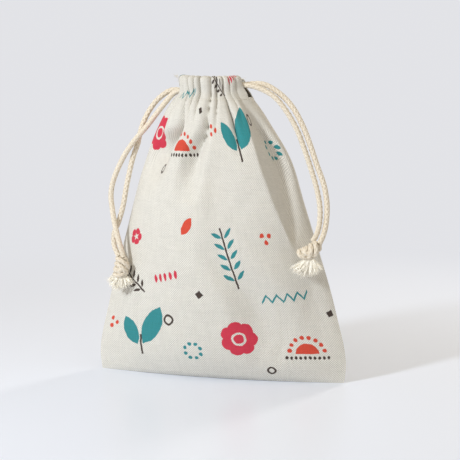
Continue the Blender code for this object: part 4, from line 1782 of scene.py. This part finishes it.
@dataclass
class FrayedEnds:
    """The two cord ends below a knot, opened out into yarns and loose fibres.

    The spreads of the yarns' roots and tips are shares of the fray's half width and half depth.
    """

    side: Side
    end: CordEnd
    yarns: int = 14
    yarn_scatter: float = 0.06
    towards_cloth: float = 0.24
    top_share: float = 0.80
    root_spread: tuple[float, float] = (0.24, 0.34)
    tip_spread: tuple[float, float] = (1.04, 0.95)
    yarn_lengths: tuple[float, float] = (0.84, 1.14)
    fan_flatness: float = 0.4
    fan_shortening: float = 0.42
    fan_power: float = 1.5
    aim_scatter: float = 1.2
    raggedness: float = 0.25
    hidden_under_knot: float = 0.25
    kinds: tuple[FibreKind, ...] = (
        FibreKind("plies", 8, 0.36, (0.50 * MM,), (1.0,), 1.02, Fibres(14, 8)),
        FibreKind("fibres", 26, 0.46, (0.06 * MM, 0.10 * MM, 0.16 * MM), (0.60, 0.28, 0.12), 1.16, Fibres()),
    )

    def yarn_ends(self, chance: np.random.Generator) -> tuple[Array, Array]:
        """Roots and tips of the yarns, from the middle of the knot's foot.

        The tips lie in a fan that is longest in its middle. No yarn leans further back than a share
        of the half depth, because the cloth is there.

        Args:
            chance: source of the chance numbers.

        Returns:
            The roots and the tips, one row each.
        """
        half_width, half_depth, length = self.end.fray
        spread = np.linspace(-1.0, 1.0, self.yarns) + chance.normal(0.0, self.yarn_scatter, self.yarns)
        depth = np.minimum(chance.uniform(-1.0, 1.0, self.yarns), self.towards_cloth)
        reach = length * chance.uniform(*self.yarn_lengths, self.yarns)
        roots = np.column_stack((
            self.root_spread[0] * spread * half_width,
            self.root_spread[1] * depth * half_depth,
            np.zeros(self.yarns),
        ))
        tips = np.column_stack((
            self.tip_spread[0] * spread * half_width + self.end.slant,
            self.tip_spread[1] * depth * half_depth * (1.0 - self.fan_flatness * np.abs(spread)),
            -reach * (1.0 - self.fan_shortening * np.abs(spread) ** self.fan_power),
        ))
        return roots, tips

    def build(self, material: bpy.types.Material) -> bpy.types.Object:
        """A skirt of fibres that flares from under the knot, in locks, with ragged tips.

        Args:
            material: the loose fibres' finish.

        Returns:
            The tuft.
        """
        chance = np.random.default_rng(self.end.seed)
        roots, tips = self.yarn_ends(chance)
        half_height = self.end.reach[2]
        top = np.array(self.end.centre) - np.array((0.0, 0.0, self.top_share * half_height))
        name = f"{self.side.value}_fray"
        parts = []
        for kind in self.kinds:
            owner = np.repeat(np.arange(self.yarns), kind.in_yarn)
            count = len(owner)
            starts = (top + roots)[owner] + chance.normal(0.0, kind.scatter * MM, (count, 3))
            stray = chance.normal(0.0, self.aim_scatter * kind.scatter * MM, (count, 3))
            aims = tips[owner] + stray - roots[owner]
            size = np.linalg.norm(aims, axis=1)
            stretch = chance.uniform(kind.longest - self.raggedness, kind.longest, count)
            lengths = size * stretch + self.hidden_under_knot * half_height
            radii = chance.choice(kind.radii, count, p=kind.radius_shares)
            seed = self.end.seed + kind.in_yarn
            part = kind.fibres.build(f"{name}_{kind.name}", starts, aims, lengths, radii, seed, material)
            parts.append(part)
        return join(name, parts, material)


@dataclass
class CasingStitches:
    """The sewn line along the foot of the casing."""

    form: PouchForm
    per_panel: int = 44
    height: float = 144.2 * MM
    clear_of_opening: float = 0.02
    stitch_span: tuple[float, float] = (0.1, 0.82)
    outset: float = 0.02 * MM
    arch: float = 0.12 * MM
    radius: float = 0.17 * MM
    thickness_at_ends: float = 0.55
    thickness_gain: float = 0.45
    samples: int = 7
    sides: int = 6

    def panel_points(self, panel: Panel) -> Array:
        """Points of one panel's stitches, each an arch along the cloth that is thinner at its ends.

        The arch and the thickness follow the square root of a half wave.

        Args:
            panel: front or back.

        Returns:
            The points, one row each, stitch by stitch and ring by ring.
        """
        reach = self.form.edge_share() - self.clear_of_opening
        starts = np.linspace(-reach, reach, self.per_panel, endpoint=False)
        within = np.linspace(*self.stitch_span, self.samples) * (2 * reach / self.per_panel)
        share = (starts[:, None] + within).ravel()
        outside = np.full(1, -self.outset)
        line = self.form.surface(panel, np.array([self.height]), share, outside, np.ones(1))[0]
        line = line.reshape(self.per_panel, self.samples, 3)
        up = np.array((0.0, 0.0, 1.0))
        away = np.cross(unit(np.gradient(line, axis=1)), up)
        rise = np.sin(np.linspace(0.0, math.pi, self.samples)) ** 0.5
        line = line + away * (self.arch * rise)[None, :, None]
        thick = self.radius * (self.thickness_at_ends + self.thickness_gain * rise)
        skin = line[:, :, None] + directions_round(away, up, self.sides) * thick[None, :, None, None]
        return skin.reshape(-1, 3)

    def build(self, material: bpy.types.Material) -> bpy.types.Object:
        """Short arched stitches on the outside of both panels, clear of the side openings.

        Args:
            material: the sewing thread.

        Returns:
            The stitches.
        """
        points = np.vstack([self.panel_points(panel) for panel in Panel])
        stitches_of_panel = self.per_panel * self.samples * self.sides
        faces = []
        for first in (0, stitches_of_panel):
            faces += closed_tube_faces(self.per_panel, self.samples, self.sides, first)
        return make_object("casing_stitches", points, faces, material)


@dataclass
class LooseThreads:
    """A few threads that stand out of the cloth at the corners of the casing.

    Each group is a panel, a share of it, a height in millimetres, a number of threads and the
    direction in which they stand out. Lengths, radii and drops are in millimetres.
    """

    form: PouchForm
    groups: tuple[tuple[Panel, float, float, int, Point], ...] = (
        (Panel.FRONT, -0.83, 155.0, 16, (-0.7, -0.3, 0.5)),
        (Panel.BACK, 0.83, 155.0, 10, (-0.7, 0.3, 0.5)),
        (Panel.FRONT, 0.83, 154.0, 6, (0.6, -0.2, 0.5)),
        (Panel.FRONT, -0.84, 145.0, 6, (-0.8, -0.3, -0.3)),
    )
    share_scatter: float = 0.03
    drops: tuple[float, float] = (-1.6, 0.4)
    aim_scatter: float = 0.35
    lengths: tuple[float, float] = (1.2, 3.6)
    radii: tuple[float, float] = (0.05, 0.09)
    seed: int = 31

    def build(self, material: bpy.types.Material) -> bpy.types.Object:
        """Fine curled threads, most of them at the top left corner.

        Args:
            material: the sewing thread.

        Returns:
            The threads.
        """
        chance = np.random.default_rng(self.seed)
        starts, aims = [], []
        for panel, share, height, count, aim in self.groups:
            shares = share + chance.uniform(-self.share_scatter, self.share_scatter, count)
            roots = self.form.surface(panel, np.array([height * MM]), shares, np.zeros(1), np.ones(1))[0]
            roots[:, 2] += chance.uniform(*self.drops, count) * MM
            starts.append(roots)
            aims.append(np.array(aim) + chance.normal(0.0, self.aim_scatter, (count, 3)))
        roots, aims = np.vstack(starts), np.vstack(aims)
        lengths = chance.uniform(*self.lengths, len(roots)) * MM
        radii = chance.uniform(*self.radii, len(roots)) * MM
        threads = Fibres(curl=0.22, droop=0.05)
        return threads.build("loose_threads", roots, aims, lengths, radii, self.seed + 1, material)


# Stage


@dataclass(frozen=True)
class Lamp:
    """A soft square lamp."""

    name: str
    place: Point
    size: float
    watts: float
    tone: Colour

    def build(self, aim: Vector) -> None:
        """Add the lamp to the scene.

        Args:
            aim: the point that it looks at.
        """
        data = bpy.data.lights.new(self.name, "AREA")
        data.shape = "SQUARE"
        data.size = self.size
        data.energy = self.watts
        data.color = self.tone
        lamp = linked(bpy.data.objects.new(self.name, data))
        lamp.location = self.place
        lamp.rotation_euler = (aim - Vector(self.place)).to_track_quat("-Z", "Y").to_euler()


@dataclass
class Studio:
    """Pale floor, soft lamps, pale world and the camera."""

    backdrop: Colour = (0.765, 0.770, 0.800)
    floor_tone: Colour = (0.795, 0.845, 0.955)
    floor_roughness: float = 0.32
    floor_reach: float = 9.0
    fade_start: float = 0.08
    fade_end: float = 0.47
    ambient: float = 0.45
    ambient_tone: Colour = (1.0, 0.875, 0.69)
    aim: Point = (4.9 * MM, 0.0, 76.5 * MM)
    azimuth: float = 16.0
    elevation: float = 8.0
    distance: float = 0.9
    lens: float = 137.1
    lamps: tuple[Lamp, ...] = (
        Lamp("key_lamp", (-0.42, -0.71, 0.45), 0.10, 5.8, (0.89, 0.94, 1.0)),
        Lamp("side_lamp", (0.24, 0.60, 0.30), 0.12, 1.7, (1.0, 0.94, 0.84)),
        Lamp("top_lamp", (0.14, -0.34, 1.25), 0.90, 3.6, (1.0, 0.96, 0.88)),
    )

    def build(self) -> None:
        """Set the whole stage up. The lamps and the camera look at the middle of the pouch."""
        self.build_floor()
        self.build_world()
        aim = Vector(self.aim)
        for lamp in self.lamps:
            lamp.build(aim)
        self.build_camera(aim)
        bpy.context.scene.view_settings.view_transform = "Standard"

    def build_floor(self) -> None:
        """A large floor whose far part takes the backdrop's colour."""
        graph = Graph("pale_floor")
        place = graph.add("ShaderNodeTexCoord").outputs["Object"]
        away = graph.add("ShaderNodeVectorMath", {"operation": "LENGTH"})
        graph.feed(away.inputs[0], place)
        far = Value(graph, away.outputs["Value"]).ramp(self.fade_start, self.fade_end)
        graph.finish(Base_Color=self.floor_tone, Roughness=self.floor_roughness, Specular_IOR_Level=0.3)
        glow = graph.add("ShaderNodeEmission", Color=self.backdrop, Strength=1.0)
        blend = graph.add("ShaderNodeMixShader", Fac=far)
        graph.feed(blend.inputs[1], graph.shader.outputs[0])
        graph.feed(blend.inputs[2], glow.outputs[0])
        graph.fill(graph.tree.nodes["Material Output"], Surface=blend.outputs[0])
        signs = np.array(((-1, -1, 0), (1, -1, 0), (1, 1, 0), (-1, 1, 0)))
        make_object("studio_floor", self.floor_reach * signs, [[0, 1, 2, 3]], graph.material)

    def build_world(self) -> None:
        """A pale world that the camera sees as the backdrop and that lights the pouch softly."""
        world = bpy.data.worlds.new("studio_world")
        bpy.context.scene.world = world
        world.use_nodes = True
        tree = world.node_tree
        seen, soft = tree.nodes["Background"], tree.nodes.new("ShaderNodeBackground")
        for shader, tone, strength in ((seen, self.backdrop, 1.0), (soft, self.ambient_tone, self.ambient)):
            shader.inputs["Color"].default_value = (*tone, 1.0)
            shader.inputs["Strength"].default_value = strength
        path = tree.nodes.new("ShaderNodeLightPath")
        direct = tree.nodes.new("ShaderNodeMath")
        direct.operation = "MAXIMUM"
        blend = tree.nodes.new("ShaderNodeMixShader")
        for source, target in (
            (path.outputs["Is Camera Ray"], direct.inputs[0]),
            (path.outputs["Is Glossy Ray"], direct.inputs[1]),
            (direct.outputs[0], blend.inputs["Fac"]),
            (soft.outputs[0], blend.inputs[1]),
            (seen.outputs[0], blend.inputs[2]),
            (blend.outputs[0], tree.nodes["World Output"].inputs["Surface"]),
        ):
            tree.links.new(source, target)

    def build_camera(self, aim: Vector) -> None:
        """The camera, at the photograph's angle.

        Args:
            aim: the point that it looks at.
        """
        azimuth, elevation = math.radians(self.azimuth), math.radians(self.elevation)
        back = Vector((
            math.sin(azimuth) * math.cos(elevation),
            -math.cos(azimuth) * math.cos(elevation),
            math.sin(elevation),
        ))
        data = bpy.data.cameras.new("camera")
        data.lens = self.lens
        data.sensor_width = 36.0
        data.clip_start = 10.0 * MM
        camera = linked(bpy.data.objects.new("camera", data))
        camera.location = aim + back * self.distance
        camera.rotation_euler = (-back).to_track_quat("-Z", "Y").to_euler()
        bpy.context.scene.camera = camera


# The whole pouch


@dataclass
class Pouch:
    """The whole pouch: cloth, cords, knots and frayed ends, each standing for its solid."""

    form: PouchForm = field(default_factory=PouchForm)
    body: str = "root"
    fibre: LooseFibre = LooseFibre("cotton_fibre", (0.97, 0.94, 0.86), (0.90, 0.85, 0.73))
    thread: LooseFibre = LooseFibre("sewing_thread", (0.80, 0.77, 0.69), (0.66, 0.62, 0.54))

    def place(self, item: bpy.types.Object, slot: str, *nodes: str) -> bpy.types.Object:
        """Let a piece ride on the part, and hide the solids that it stands for.

        Args:
            item: the piece.
            slot: not used.
            nodes: names of the solids.

        Returns:
            The piece.
        """
        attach(item, self.body)
        if nodes:
            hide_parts(*nodes)
        LOG.info("%s: %d faces", item.name, len(item.data.polygons))
        return item

    def build(self) -> None:
        """Build every piece, and let it ride on the part."""
        cotton, fibre, thread = CottonCord().build(), self.fibre.build(), self.thread.build()
        sheet = PouchCloth(self.form)
        cloth = self.place(sheet.build(PrintedCloth().build()), "cloth", "pouch_cloth")
        stitches = self.place(CasingStitches(self.form).build(thread), "cloth")
        threads = self.place(LooseThreads(self.form).build(thread), "cloth")
        self.build_cord(DrawCord(self.form, LEFT_ROUTE), LEFT_END, cotton, fibre)
        self.build_cord(DrawCord(self.form, RIGHT_ROUTE), RIGHT_END, cotton, fibre)

    def build_cord(
        self, cord: DrawCord, end: CordEnd, cotton: bpy.types.Material, fibre: bpy.types.Material
    ) -> None:
        """Build one cord with its knot and frayed ends.

        Args:
            cord: the cord.
            end: its knot and frayed ends.
            cotton: material of the braid.
            fibre: material of the loose fibres.
        """
        side = cord.route.side.value
        knot = self.place(StrandKnot(cord, end).build(cotton), "cord", f"{side}_knot")
        fray = self.place(FrayedEnds(cord.route.side, end).build(fibre), "fray", f"{side}_frayed_ends")
        for name, (strand, path) in cord.build(cotton).items():
            self.place(strand, "cord", f"{side}_cord")
            if name.endswith("casing_turn"):
                continue
            length = float(np.linalg.norm(np.diff(path, axis=0), axis=1).sum())
            in_front = "front" in name


def main() -> None:
    """Build the pouch and its stage."""
    logging.basicConfig(level=logging.INFO, format="%(name)s %(message)s")
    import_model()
    Studio().build()
    Pouch().build()


if __name__ == "__main__":
    main()
